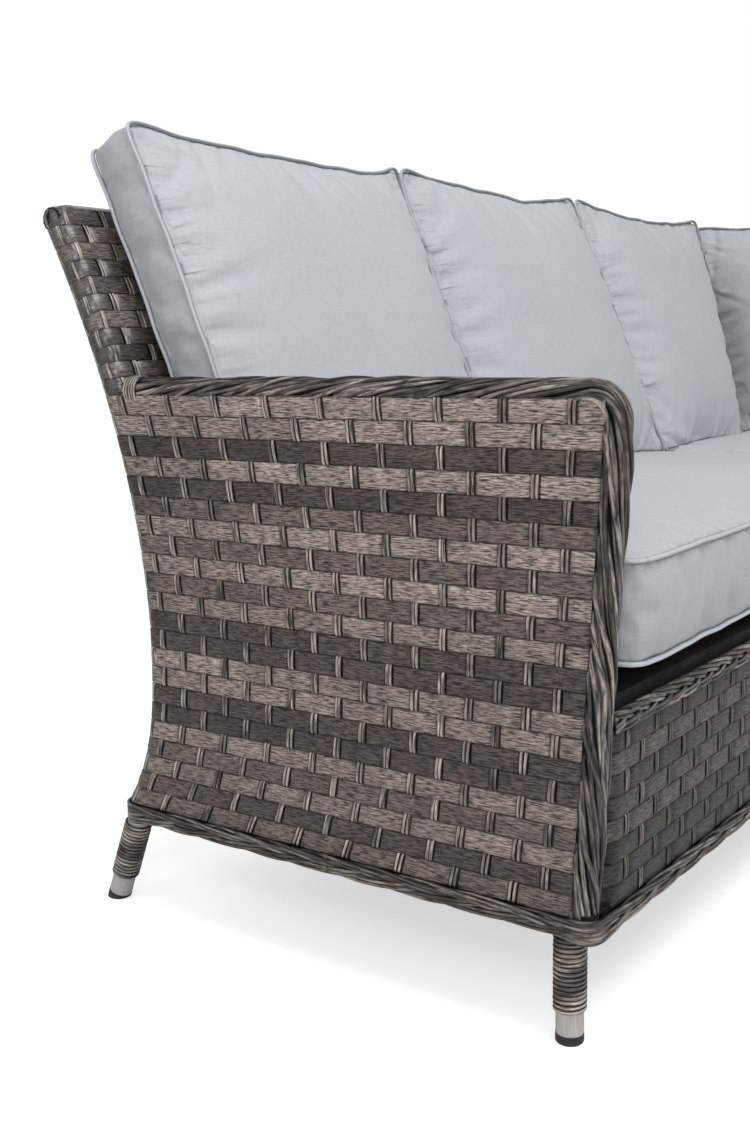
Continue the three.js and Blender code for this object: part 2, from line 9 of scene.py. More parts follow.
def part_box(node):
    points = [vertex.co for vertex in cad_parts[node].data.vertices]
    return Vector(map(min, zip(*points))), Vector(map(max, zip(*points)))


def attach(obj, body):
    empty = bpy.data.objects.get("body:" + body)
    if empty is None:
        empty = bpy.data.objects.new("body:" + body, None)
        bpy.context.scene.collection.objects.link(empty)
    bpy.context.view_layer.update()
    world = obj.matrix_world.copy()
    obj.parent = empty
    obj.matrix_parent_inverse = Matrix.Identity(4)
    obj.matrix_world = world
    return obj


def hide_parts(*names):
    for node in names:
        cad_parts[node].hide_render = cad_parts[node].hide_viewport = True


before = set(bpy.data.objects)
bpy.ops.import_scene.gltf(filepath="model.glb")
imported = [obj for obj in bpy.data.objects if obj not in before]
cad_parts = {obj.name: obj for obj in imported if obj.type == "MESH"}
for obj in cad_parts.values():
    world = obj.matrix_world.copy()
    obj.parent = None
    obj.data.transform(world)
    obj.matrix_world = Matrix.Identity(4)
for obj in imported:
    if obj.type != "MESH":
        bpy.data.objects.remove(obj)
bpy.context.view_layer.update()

print("frame loaded:", len(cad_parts), "nodes")

# The sofa is laid out in millimetres from the outer face of the arm and the ground, then moved to the frame
panelHalf = 18  # from a panel's middle to its face
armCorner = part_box("arm_weave_outer")[0]
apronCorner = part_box("apron_weave")[0]
layoutOrigin = np.array([armCorner[0] * 1000, apronCorner[1] * 1000 + panelHalf, 0.0])


def toFrame(points):
    return (np.asarray(points, dtype=float) + layoutOrigin) / 1000


# Shape of the back, shared by every panel
backShape = {
    "waist": 345, "waistDepth": 566, "sweep": 159.004, "sweepPower": 1.78, "top": 853,
    "footFlare": 49, "flarePower": 3, "foot": 139, "mitre": 1315, "half": panelHalf, "frontFace": -panelHalf,
    "armFront": 4.7, "armLean": 0.0635, "armTop": 632,
}
skinRadius = 16.15  # from the middle of a panel to the middle of its woven skin


def flareAt(z):
    s = backShape
    upper = np.clip((z - s["waist"]) / (s["top"] - s["waist"]), 0, None) ** s["sweepPower"]
    lower = np.clip((s["waist"] - z) / (s["waist"] - s["foot"]), 0, None) ** s["flarePower"]
    return s["sweep"] * upper + s["footFlare"] * lower


def leanAt(z, nudge=0.3):
    return np.arctan((flareAt(z + nudge) - flareAt(z - nudge)) / (2 * nudge))


def panelAt(zeta, depth):
    lean = leanAt(zeta)
    return backShape["waistDepth"] + flareAt(zeta) - depth * np.cos(lean), zeta + depth * np.sin(lean)


topLean = float(leanAt(np.array(backShape["top"] - backShape["half"])))
rollStart = backShape["top"] - backShape["half"] * (1 + math.sin(topLean))
topY, topZ = (float(v) for v in panelAt(np.array(rollStart), backShape["half"]))


# Depth of a back's face at a height: side is 1 for the outer face and -1 for the inner one
def faceY(z, side, radius=skinRadius):
    z = np.asarray(z, dtype=float)
    depth = backShape["half"] - side * radius
    zeta = z.copy()
    for _ in range(5):
        zeta = z - depth * np.sin(leanAt(zeta))
    y = backShape["waistDepth"] + flareAt(zeta) - depth * np.cos(leanAt(zeta))
    onRoll = z > topZ - side * radius * math.sin(topLean)
    rolled = topY + side * np.sqrt(np.clip(radius ** 2 - (z - topZ) ** 2, 0.01, None))
    return np.where(onRoll, rolled, y)


def postY(z):
    return backShape["armFront"] - (z - backShape["foot"]) * backShape["armLean"]


# Rows and staves of the weave; the rows near the arm's top are raised a little
weave = {
    "firstRow": 138, "armRowTop": 627, "armRows": 22, "topRowEnd": 847, "topRows": 11, "raised": 3.5,
    "raisedRows": 2.4, "apronRows": 8, "deckRow": 10, "stavePitch": 34.4,
    "stripWidth": 1.1, "stripThickness": 0.9, "over": 1.9, "under": -0.8, "dip": 0.12, "dipSlope": 0.1,
    "strandWidth": 2.3, "strandHeight": 1.3, "strandSpacing": 2.3, "front": 1.9, "behind": -1.0,
}
# Tones of the rows from the top down: light, pale, middle, dark
toneOf = {"l": 0.84, "p": 0.69, "m": 0.51, "d": 0.3}
armTones = "lldldmlmlmpddppddpmpdm"
endTones = "dmmddmmddmd"
apronTones = "dppdpdmm"
# Painted shade: the apron, under the seat's overhang, is darkened as a whole over its rows' own tones
apronPaintedShade = 0.33
rowCount = weave["armRows"] + weave["topRows"]
rowEdges = np.concatenate([np.linspace(weave["firstRow"], weave["armRowTop"], weave["armRows"] + 1),
                           np.linspace(weave["armRowTop"], weave["topRowEnd"], weave["topRows"] + 1)[1:]])
rowEdges += weave["raised"] * np.exp(-((np.arange(rowCount + 1) - weave["armRows"]) / weave["raisedRows"]) ** 2)


def rowStart(i):
    return float(rowEdges[i])


def rowNumber(z):
    return np.interp(z, rowEdges, np.arange(rowCount + 1))


def rowTone(i):
    return toneOf[(armTones[::-1] + endTones[::-1])[i]]


def smoothStep(t):
    t = np.clip(t, 0, 1)
    return t * t * (3 - 2 * t)


# Distance, in staves, to the nearest stave that shows in front of a row
def shownStave(numbers, row):
    return np.abs((numbers - row) % 2 - 1)


# Middle of a back's two faces at a height, and half the way between them
def faceSpan(z):
    outer, inner = faceY(z, 1), faceY(z, -1)
    return (outer + inner) / 2, (outer - inner) / 2


# Staves are numbered: 0 to 16 along the arm, 17 and 18 round the back edge, then along the back.
# Above the arm 14.5 to 18.5 turns round the end of the back, and lower numbers run along its inside.
noseMiddle, noseHalf = 16.5, 2.0
mitre = backShape["mitre"]
returnFront = backShape["frontFace"] + mitre
hollow = 7  # radius of the inside corner between the backs
squeeze = 60  # length of a face before a corner over which its rows are squeezed


def noseAt(a, z):
    middle, half = faceSpan(z)
    reach = np.sqrt(np.clip(skinRadius ** 2 - np.clip(z - topZ, 0, None) ** 2, 0.01, None))
    turn = np.clip((a - noseMiddle) / noseHalf, -1, 1) * math.pi / 2
    return panelHalf - reach * np.cos(turn), middle + half * np.sin(turn)


# Strips lie square to the leaning end of a back, so they pass its outer face lower down
slantedRows = {"drop": 30, "from": weave["armRowTop"] + 4, "rise": 60, "until": 790, "fall": 55, "fade": 8}


def noseDrop(a, z):
    s = slantedRows
    high = smoothStep((z - s["from"]) / s["rise"]) * (1 - smoothStep((z - s["until"]) / s["fall"]))
    share = smoothStep((a - noseMiddle + noseHalf) / (2 * noseHalf))
    beyond = smoothStep((a - noseMiddle - noseHalf) / s["fade"])
    return s["drop"] * np.sin(leanAt(z)) * high * share * (1 - beyond)


def cornerStart(z):
    return mitre + faceSpan(z)[0]


# How far along a back its face meets the corner: side is 1 outside and -1 inside
def cornerLimit(z, side, start):
    return (cornerStart(z) if side > 0 else mitre + faceY(z, -1) - hollow) - start


# A back: its free end, then both faces along its length, with a row squeezed to meet the slanting corner
def backPlan(start=0.0, squeezed=True):
    def plan(a, z):
        z = z - noseDrop(a, z)
        x, y = noseAt(a, z)
        straight = panelHalf + (np.abs(a - noseMiddle) - noseHalf) * weave["stavePitch"]
        for side in (1, -1):
            beyond = (a - noseMiddle) * side > noseHalf
            along = straight
            if squeezed:
                limit = cornerLimit(z, side, start)
                near = np.clip((straight - (np.mean(limit) - squeeze)) / squeeze, 0, None)
                along = straight + near * (limit - np.mean(limit))
            x = np.where(beyond, along, x)
            y = np.where(beyond, faceY(z, side), y)
        return x, y, z
    return plan


# The side below the arm's top: staves fan out between the post and the back edge
sideSpread = {"first": 0.054, "each": 0.056, "last": 16, "tail": 0.5}


def sidePlan(squeezed=True):
    back = backPlan(0.0, squeezed)

    def plan(a, z):
        x, y, z = back(a, z)
        s = sideSpread
        post, edge = postY(z), backShape["waistDepth"] + flareAt(z)
        sideY = post + (edge - post) * (s["first"] + s["each"] * np.minimum(a, s["last"]))
        tail = np.clip((a - s["last"]) / s["tail"], 0, 1)
        sideY = sideY + tail * (faceSpan(z)[0] - sideY)
        onSide = a < noseMiddle
        return np.where(onSide, panelHalf - skinRadius, x), np.where(onSide, sideY, y), z
    return plan


def overMitre(x, y):
    return y + mitre, x - mitre


def onReturn(plan):
    def turned(a, z):
        x, y, z = plan(a, z)
        return *overMitre(x + returnFront, y), z
    return turned


backRow, backStave = backPlan(), backPlan(squeezed=False)
sideRow, sideStave = sidePlan(), sidePlan(False)
returnRow, returnStave = onReturn(backPlan(returnFront)), onReturn(backPlan(returnFront, False))


# Pieces are built from strips and strands, each of them a grid of points
def unit(vectors):
    return vectors / np.maximum(np.linalg.norm(vectors, axis=-1, keepdims=True), 1e-9)


def lengthsOf(line):
    steps = np.linalg.norm(np.diff(line, axis=0), axis=1)
    return np.concatenate([[0], np.cumsum(steps)])


def gridOf(along, across):
    return np.stack(np.meshgrid(along, across, indexing="ij"), axis=2)


def addObject(name, data):
    made = bpy.data.objects.new(name, data)
    bpy.context.scene.collection.objects.link(made)
    return made


def meshFrom(name, shape):
    mesh = bpy.data.meshes.new(name)
    shape.to_mesh(mesh)
    shape.free()
    return mesh


def smoothFaces(shape):
    for face in shape.faces:
        face.smooth = True


def gridPiece(name, strips, closed=False):
    rings = bmesh.new()
    for strip in strips:
        n, m = strip["points"].shape[:2]
        bmesh.ops.create_grid(rings, x_segments=m - 1, y_segments=n - 1, size=1)
    mesh = meshFrom(name, rings)
    points = np.concatenate([s["points"].reshape(-1, 3) for s in strips])
    mesh.vertices.foreach_set("co", toFrame(points).astype(np.float32).ravel())
    corners = np.empty(len(mesh.loops), dtype=np.int32)
    mesh.loops.foreach_get("vertex_index", corners)
    flat = np.concatenate([s["uv"].reshape(-1, 2) for s in strips])[corners]
    mesh.uv_layers.new(name="along").data.foreach_set("uv", flat.astype(np.float32).ravel())
    for key in ("tone", "edge"):
        values = np.concatenate([s[key].reshape(-1) for s in strips])
        mesh.attributes.new(key, "FLOAT", "POINT").data.foreach_set("value", values.astype(np.float32))
    piece = addObject(name, mesh)
    shape = bmesh.new()
    shape.from_mesh(mesh)
    if closed:
        bmesh.ops.remove_doubles(shape, verts=shape.verts[:], dist=1e-6)
        rims = [e for e in shape.edges if e.is_boundary]
        if rims:
            bmesh.ops.holes_fill(shape, edges=rims, sides=0)
        bmesh.ops.recalc_face_normals(shape, faces=shape.faces[:])
    smoothFaces(shape)
    shape.to_mesh(mesh)
    shape.free()
    return piece


def thicken(piece, thickness):
    shape = bmesh.new()
    shape.from_mesh(piece.data)
    bmesh.ops.solidify(shape, geom=shape.faces[:], thickness=thickness / 1000)
    bmesh.ops.recalc_face_normals(shape, faces=shape.faces[:])
    shape.to_mesh(piece.data)
    shape.free()
    piece.data.set_sharp_from_angle(angle=math.radians(60))


# Across a strip: where its points lie, how far they stand out, and how much painted shade of the seam between rows
# they carry
stripAcross = np.array([-1, -0.885, -0.79, 0.79, 0.885, 1])
stripCrown = np.array([-1.6, -0.3, 0.25, 0.25, -0.3, -1.6])
stripSeamShade = np.array([1, 0.85, 0, 0, 0.85, 1])
# Tones change from one crossing to the next (mottle) and now and then along a strip (steps)
mottle = {"values": 59, "arm": 0.04, "apron": 0.07}
toneSteps = {"count": 40, "lengths": (240, 620), "size": 0.13}
liftShape = {"flat": 0.6, "bow": 0.35, "shortest": 0.5}
uvSpread = 5000
# The painted shade of a round strand lies on its underside and fades off its sides, and each strand has its own
# stretch of texture
strandSkin = {"under": -0.1, "shadePower": 2.4, "girth": 0.015, "lengthSpread": 4000, "girthSpread": 4}


# One strip of the weave: each part gives a plan, the stave numbers in order along it, how much of the
# over and under it keeps, and a tone of its own if it has one
def weaveStrip(parts, low, high, row, rng, tone):
    w = weave
    middle, half = (low + high) / 2, (high - low) / 2 * w["stripWidth"]
    heights = middle + half * stripAcross
    blocks, lifts, shades, dips = [], [], [], []
    spots = np.array([rng.uniform(-1, 1) for _ in range(mottle["values"])])
    for plan, numbers, fade, shade in parts:
        a, z = np.meshgrid(numbers, heights, indexing="ij")
        blocks.append(np.stack(plan(a, z), axis=2))
        away = shownStave(numbers, row)
        dip = (1 - smoothStep((away - w["dip"]) / w["dipSlope"])) * fade
        flat = w["over"] * (liftShape["flat"] + (1 - liftShape["flat"]) * fade)
        lifts.append(flat + (w["under"] - w["over"]) * dip + liftShape["bow"] * smoothStep(away) * fade)
        dips.append(dip)
        spot = spots[np.floor((numbers - row + 1) / 2).astype(int) % mottle["values"]]
        shades.append(tone + mottle["arm"] * spot if shade is None else shade + mottle["apron"] * spot)
    points = np.concatenate(blocks)
    lift, shades, dips = np.concatenate(lifts), np.concatenate(shades), np.concatenate(dips)
    keep = np.diff(lengthsOf(points[:, 2]), prepend=-1) > liftShape["shortest"]
    points, lift, shades, dips = points[keep], lift[keep], shades[keep], dips[keep]
    normals = unit(np.cross(np.gradient(points, axis=1), np.gradient(points, axis=0)))
    points = points + normals * (lift[:, None] + stripCrown[None, :])[:, :, None]
    length = lengthsOf(points[:, 2])
    changes = np.cumsum(np.array([rng.uniform(*toneSteps["lengths"]) for _ in range(toneSteps["count"])]))
    steps = np.array([0] + [rng.uniform(-toneSteps["size"], toneSteps["size"]) for _ in changes])
    tones = np.clip(shades + steps[np.searchsorted(changes, length)], 0.05, 1)
    across = (heights - middle) + rng.uniform(0, uvSpread)
    uv = gridOf((length + rng.uniform(0, uvSpread)) / 1000, across / 1000)
    # Painted shade along the strip's edges, and deeper where it dips under a stave
    edge = np.clip(stripSeamShade[None, :] + 0.6 * dips[:, None] ** 2, 0, 1)
    return {"points": points, "uv": uv, "tone": np.repeat(tones[:, None], len(heights), axis=1), "edge": edge}


# Round strand along a line; out points away from what the strand lies on
def strand(line, out, width, height, sides, tone, rng):
    along = unit(np.gradient(line, axis=0))
    side = unit(np.cross(along, out))
    up = np.cross(side, along)
    turn = np.linspace(0, 2 * math.pi, sides + 1)
    width = np.broadcast_to(width, len(line))
    ring = (line[:, None] + side[:, None] * (width[:, None] * np.cos(turn)[None, :])[:, :, None]
            + up[:, None] * (np.sin(turn) * height)[None, :, None])
    ring[:, -1] = ring[:, 0]
    s = strandSkin
    length = (lengthsOf(line) + rng.uniform(0, s["lengthSpread"])) / 1000
    girth = turn / (2 * math.pi) * s["girth"] + rng.uniform(0, s["girthSpread"])
    # Painted shade: full on the underside, fading off the sides
    edge = np.where(np.sin(turn) < s["under"], 1, np.abs(np.cos(turn)) ** s["shadePower"])
    return {"points": ring, "uv": gridOf(length, girth), "tone": np.full(ring.shape[:2], tone),
            "edge": np.repeat(edge[None, :], len(line), axis=0)}


# Materials are built from a few helpers, which take a plain value or the output of another node
def setInputs(tree, node, inputs):
    for key, value in inputs.items():
        if isinstance(value, bpy.types.NodeSocket):
            tree.links.new(value, node.inputs[key])
        else:
            node.inputs[key].default_value = value


def addNode(tree, kind, inputs=None, **settings):
    node = tree.nodes.new(kind)
    for key, value in settings.items():
        setattr(node, key, value)
    setInputs(tree, node, inputs or {})
    return node


def newMaterial(name):
    made = bpy.data.materials.new(name)
    made.use_nodes = True
    tree = made.node_tree
    tree.nodes.clear()
    shader = addNode(tree, "ShaderNodeBsdfPrincipled")
    addNode(tree, "ShaderNodeOutputMaterial", {0: shader.outputs[0]})
    return made, tree, shader


def alongUv(tree):
    return addNode(tree, "ShaderNodeUVMap", uv_map="along").outputs[0]


def objectPlace(tree):
    return addNode(tree, "ShaderNodeTexCoord").outputs["Object"]


def attributeOf(tree, name):
    return addNode(tree, "ShaderNodeAttribute", attribute_name=name).outputs["Fac"]


def compute(tree, kind, first, second):
    return addNode(tree, "ShaderNodeMath", {0: first, 1: second}, operation=kind).outputs[0]


def addRamp(tree, source, stops):
    ramp = addNode(tree, "ShaderNodeValToRGB", {0: source})
    while len(ramp.color_ramp.elements) < len(stops):
        ramp.color_ramp.elements.new(0.5)
    for element, (place, colour) in zip(ramp.color_ramp.elements, stops):
        element.position = place
        element.color = (*colour, 1)
    return ramp.outputs[0]


def multiplied(tree, colour, *layers):
    for layer in layers:
        mix = addNode(tree, "ShaderNodeMix", {0: 1.0, 6: colour, 7: layer}, data_type="RGBA", blend_type="MULTIPLY")
        colour = mix.outputs[2]
    return colour


def addNoise(tree, vector, scale, detail=3.0, roughness=0.55, distortion=0.0):
    place = addNode(tree, "ShaderNodeMapping", {"Vector": vector, "Scale": scale})
    noise = addNode(tree, "ShaderNodeTexNoise", {"Vector": place.outputs[0], "Scale": 1.0, "Detail": detail,
                                                 "Roughness": roughness, "Distortion": distortion})
    return noise.outputs[0]


def mapped(tree, value, ends, source=(0.0, 1.0)):
    span = addNode(tree, "ShaderNodeMapRange", {"Value": value, "From Min": source[0], "From Max": source[1],
                                                "To Min": ends[0], "To Max": ends[1]})
    return span.outputs[0]


# Gives a shader its colour, its bump (height, strength and distance) and its other inputs
def dress(tree, shader, colour, bump, inputs):
    height, strength, distance = bump
    relief = addNode(tree, "ShaderNodeBump", {"Height": height, "Strength": strength, "Distance": distance})
    setInputs(tree, shader, {"Base Color": colour, "Normal": relief.outputs[0], **inputs})


# Fibre looks; the seam ramps paint shade by the edge attribute: in the seams between rows, where a strip dips under a
# stave, and on a strand's sides and underside
fibreLook = {
    "strip": {"flecks": (80, 780, 1), "grain": (260, 1500, 1), "fleckDark": 0.1, "fleckLight": 1.75,
              "dark": (0.024, 0.019, 0.0165), "mid": (0.108, 0.088, 0.078), "light": (0.375, 0.325, 0.292),
              "roughness": 0.34, "gloss": 0.3, "bump": 0.5,
              "seam": [(0, (1, 1, 1)), (0.35, (0.7, 0.69, 0.68)), (1, (0.1, 0.09, 0.085))]},
    "strand": {"flecks": (38, 330, 1), "grain": (110, 900, 1), "fleckDark": 0.14, "fleckLight": 1.95,
               "dark": (0.022, 0.018, 0.016), "mid": (0.1, 0.084, 0.075), "light": (0.45, 0.4, 0.362),
               "roughness": 0.28, "gloss": 0.42, "bump": 0.6,
               "seam": [(0, (1, 1, 1)), (0.25, (0.82, 0.81, 0.8)), (0.55, (0.26, 0.25, 0.24)),
                        (1, (0.05, 0.045, 0.04))]},
}


# Printed resin fibre: the row's own tone, broken by long dark flecks and finer pale grain, with painted shade in the
# seams between rows, under the staves and on the sides and underside of strands
def fibreMaterial(name, look):
    made, tree, shader = newMaterial(name)
    uv = alongUv(tree)
    flecks = addNoise(tree, uv, look["flecks"], 4.0, 0.6, 0.45)
    low, high = look["fleckDark"], look["fleckLight"]
    colour = multiplied(
        tree,
        addRamp(tree, attributeOf(tree, "tone"), [(0, look["dark"]), (0.45, look["mid"]), (1, look["light"])]),
        addRamp(tree, flecks, [(0.37, (low, low, low)), (0.455, (0.62, 0.61, 0.6)), (0.61, (high, high, high))]),
        addRamp(tree, addNoise(tree, uv, look["grain"], 2.0),
                [(0.32, (0.7, 0.7, 0.7)), (0.68, (1.25, 1.24, 1.23))]),
        addRamp(tree, addNoise(tree, uv, (13, 60, 1), 2.0), [(0.3, (0.8, 0.8, 0.82)), (0.7, (1.17, 1.16, 1.14))]),
        # painted shade in the seams, under the staves and under the strands
        addRamp(tree, attributeOf(tree, "edge"), look["seam"]))
    rough = mapped(tree, flecks, (look["roughness"] + 0.16, look["roughness"] - 0.06), (0.3, 0.7))
    dress(tree, shader, colour, (flecks, look["bump"], 0.0007),
          {"Roughness": rough, "Specular IOR Level": look["gloss"]})
    return made


stripMaterial = fibreMaterial("woven_strip_resin", fibreLook["strip"])
crestMaterial = fibreMaterial("glossy_strip_resin", {**fibreLook["strip"], "mid": (0.082, 0.067, 0.059),
                                                     "light": (0.29, 0.25, 0.224), "roughness": 0.2, "gloss": 0.8})
strandMaterial = fibreMaterial("strand_resin", fibreLook["strand"])


def finish(piece, material, replaced=(), body="frame"):
    piece.data.materials.clear()
    piece.data.materials.append(material)
    if replaced:
        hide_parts(*replaced)
    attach(piece, body)


def addStrands(name, strands, replaced=()):
    finish(gridPiece(name, strands, closed=True), strandMaterial, replaced)


# Camera, light and floor
view = {"place": (-2.07801, -0.87688, 0.67677), "yaw": 54.11, "pitch": 9.17, "roll": -0.97, "lens": 42.13,
        "sensor": 36}


def makeCamera():
    yaw, pitch, roll = (math.radians(view[k]) for k in ("yaw", "pitch", "roll"))
    ahead = Vector((math.sin(yaw) * math.cos(pitch), math.cos(yaw) * math.cos(pitch), -math.sin(pitch)))
    right = ahead.cross(Vector((0, 0, 1))).normalized()
    up = right.cross(ahead)
    right, up = (right * math.cos(roll) + up * math.sin(roll), up * math.cos(roll) - right * math.sin(roll))
    data = bpy.data.cameras.new("camera")
    data.lens, data.sensor_width = view["lens"], view["sensor"]
    camera = addObject("camera", data)
    turn = Matrix((right, up, -ahead)).transposed()
    camera.matrix_world = Matrix.Translation(view["place"]) @ turn.to_4x4()
    bpy.context.scene.camera = camera


white = (1, 1, 1, 1)
lightTarget = Vector((0, 0, 0.4))
lights = {
    "top": {"place": (-1.1, -1.5, 3.7), "size": 2.2, "power": 78},
    "camera": {"place": (-2.9, -1.3, 1.7), "size": 0.5, "power": 12},
    "left": {"place": (-3.6, 0.6, 2.2), "size": 2.0, "power": 12},
    "back": {"place": (1.5, 3.4, 2.6), "size": 2.6, "power": 20},
}
worldLight, backdropLight = 0.46, 1.0


# The camera sees one thing while light comes from another
def seenApart(tree, lighting, shown):
    ray = addNode(tree, "ShaderNodeLightPath").outputs["Is Camera Ray"]
    return addNode(tree, "ShaderNodeMixShader", {0: ray, 1: lighting, 2: shown}).outputs[0]


def makeLight():
    for name, light in lights.items():
        data = bpy.data.lights.new(name, "AREA")
        data.size, data.energy = light["size"], light["power"]
        place = Vector(light["place"])
        turn = (lightTarget - place).to_track_quat("-Z", "Y").to_matrix().to_4x4()
        addObject(name, data).matrix_world = Matrix.Translation(place) @ turn
    world = bpy.data.worlds.new("studio")
    bpy.context.scene.world = world
    world.use_nodes = True
    tree = world.node_tree
    tree.nodes.clear()
    soft, plain = (addNode(tree, "ShaderNodeBackground", {"Color": white, "Strength": strength}).outputs[0]
                   for strength in (worldLight, backdropLight))
    addNode(tree, "ShaderNodeOutputWorld", {0: seenApart(tree, soft, plain)})


# A pale floor that keeps the sofa's shadow and turns into the white background further out
floorLook = {"size": 14, "from": 1.3, "to": 2.3, "colour": (0.86, 0.86, 0.86, 1), "glow": 0.6}


def makeFloor():
    shape = bmesh.new()
    bmesh.ops.create_grid(shape, x_segments=1, y_segments=1, size=floorLook["size"])
    floor = addObject("floor", meshFrom("floor", shape))
    made = bpy.data.materials.new("pale_floor")
    made.use_nodes = True
    tree = made.node_tree
    tree.nodes.clear()
    reach = addNode(tree, "ShaderNodeVectorMath", {0: objectPlace(tree)}, operation="LENGTH")
    far = addNode(tree, "ShaderNodeMapRange", {"Value": reach.outputs["Value"], "From Min": floorLook["from"],
                                               "From Max": floorLook["to"]}, interpolation_type="SMOOTHSTEP")
    matte = addNode(tree, "ShaderNodeBsdfDiffuse", {"Color": floorLook["colour"]}).outputs[0]
    glow, plain = (addNode(tree, "ShaderNodeEmission", {"Color": white, "Strength": strength}).outputs[0]
                   for strength in (floorLook["glow"], backdropLight))
    lit = addNode(tree, "ShaderNodeAddShader", {0: matte, 1: glow})
    shown = addNode(tree, "ShaderNodeMixShader", {0: far.outputs[0], 1: lit.outputs[0], 2: plain})
    addNode(tree, "ShaderNodeOutputMaterial", {0: seenApart(tree, matte, shown.outputs[0])})
    floor.data.materials.append(made)


makeCamera()
makeLight()
makeFloor()
bpy.context.scene.view_settings.view_transform = "Standard"
print("camera, light and floor ready")


# Stave numbers where a strip is sampled: close together beside the staves that show in front of it
besideShown = (-0.22, -0.17, -0.12, 0.12, 0.17, 0.22)
besideHidden = (-0.45, 0, 0.45)


def numbersBetween(first, last, row):
    low, high = min(first, last), max(first, last)
    places = [first, last]
    for k in range(math.floor(low) - 1, math.ceil(high) + 2):
        shown = shownStave(np.array(float(k)), row) < 0.5
        places += [k + d for d in (besideShown if shown else besideHidden)]
    places = np.array(sorted(p for p in places if low <= p <= high))
    places = places[np.concatenate([[True], np.diff(places) > 0.02])]
    return places if first < last else places[::-1]


# The number of the place where a face meets its corner, for a row at one height
def lastNumber(z, side, start):
    limit = float(cornerLimit(np.array(z), side, start))
    return noseMiddle + side * (noseHalf + (limit - panelHalf) / weave["stavePitch"])


# The corner between the backs: outside it turns round the tube, inside it is a tight hollow
def outsideCorner(turn, z):
    middle, half = faceSpan(z)
    return mitre + middle + half * np.sin(turn), middle + half * np.cos(turn), z


def insideCorner(turn, z):
    inner = faceY(z, -1) - hollow
    return mitre + inner + hollow * np.sin(turn), inner + hollow * np.cos(turn), z


# A face from one stave number to another; the strip lies flat where it meets the corner
def facePart(plan, row, first, last, corner):
    numbers = numbersBetween(first, last, row)
    return plan, numbers, smoothStep(np.abs(numbers - corner)), None


def cornerPart(plan, turns):
    return plan, turns[1:-1] * math.pi / 2, 0.0, None


def outsideParts(plan, row, startNumber):
    middle = (rowStart(row) + rowStart(row + 1)) / 2
    here, there = lastNumber(middle, 1, 0), lastNumber(middle, 1, returnFront)
    return [facePart(plan, row, startNumber, here, here), cornerPart(outsideCorner, np.linspace(0, 1, 9)),
            facePart(returnRow, row, there, noseMiddle, there)]


def insideParts(row, endNumber):
    middle = (rowStart(row) + rowStart(row + 1)) / 2
    here, there = lastNumber(middle, -1, 0), lastNumber(middle, -1, returnFront)
    return [facePart(returnRow, row, noseMiddle, there, there), cornerPart(insideCorner, np.linspace(1, 0, 6)),
            facePart(backRow, row, here, endNumber, here)]


insideSpread = {"first": 0.06, "each": 0.0585, "last": 15.8, "beforeNose": 0.52}


def armInside(a, z):
    post, inner = postY(z), faceY(z, -1)
    y = post + (inner - post) * (insideSpread["first"] + insideSpread["each"] * a)
    return np.full_like(y, panelHalf + skinRadius), y, z


# The apron runs from beside the arm's post to the right end, and tucks in behind the post
apronRight = mitre + 560
apronLeft = 31
apronTuck = {"depth": 7, "from": 30, "length": 16}


def apronWall(a, z):
    x = apronRight - (noseMiddle - a) * weave["stavePitch"]
    tuck = apronTuck["depth"] * (1 - smoothStep((x - apronTuck["from"]) / apronTuck["length"]))
    return x, tuck - skinRadius, z


postNumber = -0.9  # where strips begin, round the arm's post


def rowParts(row):
    if row >= weave["armRows"]:
        return outsideParts(backRow, row, noseMiddle) + insideParts(row, noseMiddle)
    parts = outsideParts(sideRow, row, postNumber)
    if row < weave["apronRows"]:
        last = noseMiddle - (apronRight - apronLeft) / weave["stavePitch"]
        # The apron row's own tone, darkened by painted shade
        shade = apronPaintedShade * toneOf[apronTones[weave["apronRows"] - 1 - row]]
        parts.append((apronWall, numbersBetween(noseMiddle - 0.5, last, row), 1.0, shade))
    elif row >= weave["deckRow"]:
        parts += insideParts(row, noseMiddle - noseHalf - insideSpread["beforeNose"])
        parts.append((armInside, numbersBetween(insideSpread["last"], postNumber, row), 1.0, None))
    return parts


def layRows(name, first, last, replaced, seed):
    rng = random.Random(seed)
    strips = [weaveStrip(rowParts(row), rowStart(row), rowStart(row + 1), row, rng, rowTone(row))
              for row in range(first, last)]
    crest = last == rowCount
    if crest:
        strips.append(topStrip())
    piece = gridPiece(name, strips)
    thicken(piece, weave["stripThickness"])
    finish(piece, crestMaterial if crest else stripMaterial, replaced)


# The strip that lies along the crest of both backs, over the top rail; its rim carries painted shade at both edges
# rim: how much painted shade each line across the crest strip carries
crestShape = {"angles": (-50, -46, -24, 24, 46, 50), "rim": (1, 0.2, 0, 0, 0.2, 1), "lift": 1.6, "width": 0.028,
              "drop": 7, "dropLength": 12, "step": 8, "clear": 14}


def topStrip():
    c = crestShape
    front, corner = backShape["frontFace"], mitre + topY
    line = [(5.5, topY), (8, topY)] + [(x, topY) for x in np.arange(c["clear"], corner - c["clear"], c["step"])]
    line += [(corner, topY)] + [(corner, y) for y in np.arange(topY - c["clear"], front + c["clear"], -c["step"])]
    line += [(corner, front + 8), (corner, front + 5.5)]
    line = np.array([(x, y, 0) for x, y in line])
    side = np.cross(unit(np.gradient(line, axis=0)), (0, 0, 1))
    length = lengthsOf(line)
    drop = c["drop"] * (1 - smoothStep(np.minimum(length, length[-1] - length) / c["dropLength"]))
    reach = skinRadius + c["lift"]
    rows = []
    for angle in np.radians(c["angles"]):
        place = line + side * (math.sin(angle) * reach)
        place[:, 2] = topZ + math.cos(angle) * reach - drop
        rows.append(place)
    points = np.stack(rows, axis=1)[:, ::-1]
    return {"points": points, "uv": gridOf(length / 1000, np.linspace(0, c["width"], len(rows))),
            "tone": np.full(points.shape[:2], toneOf["m"]), "edge": np.tile(c["rim"], (len(line), 1))}


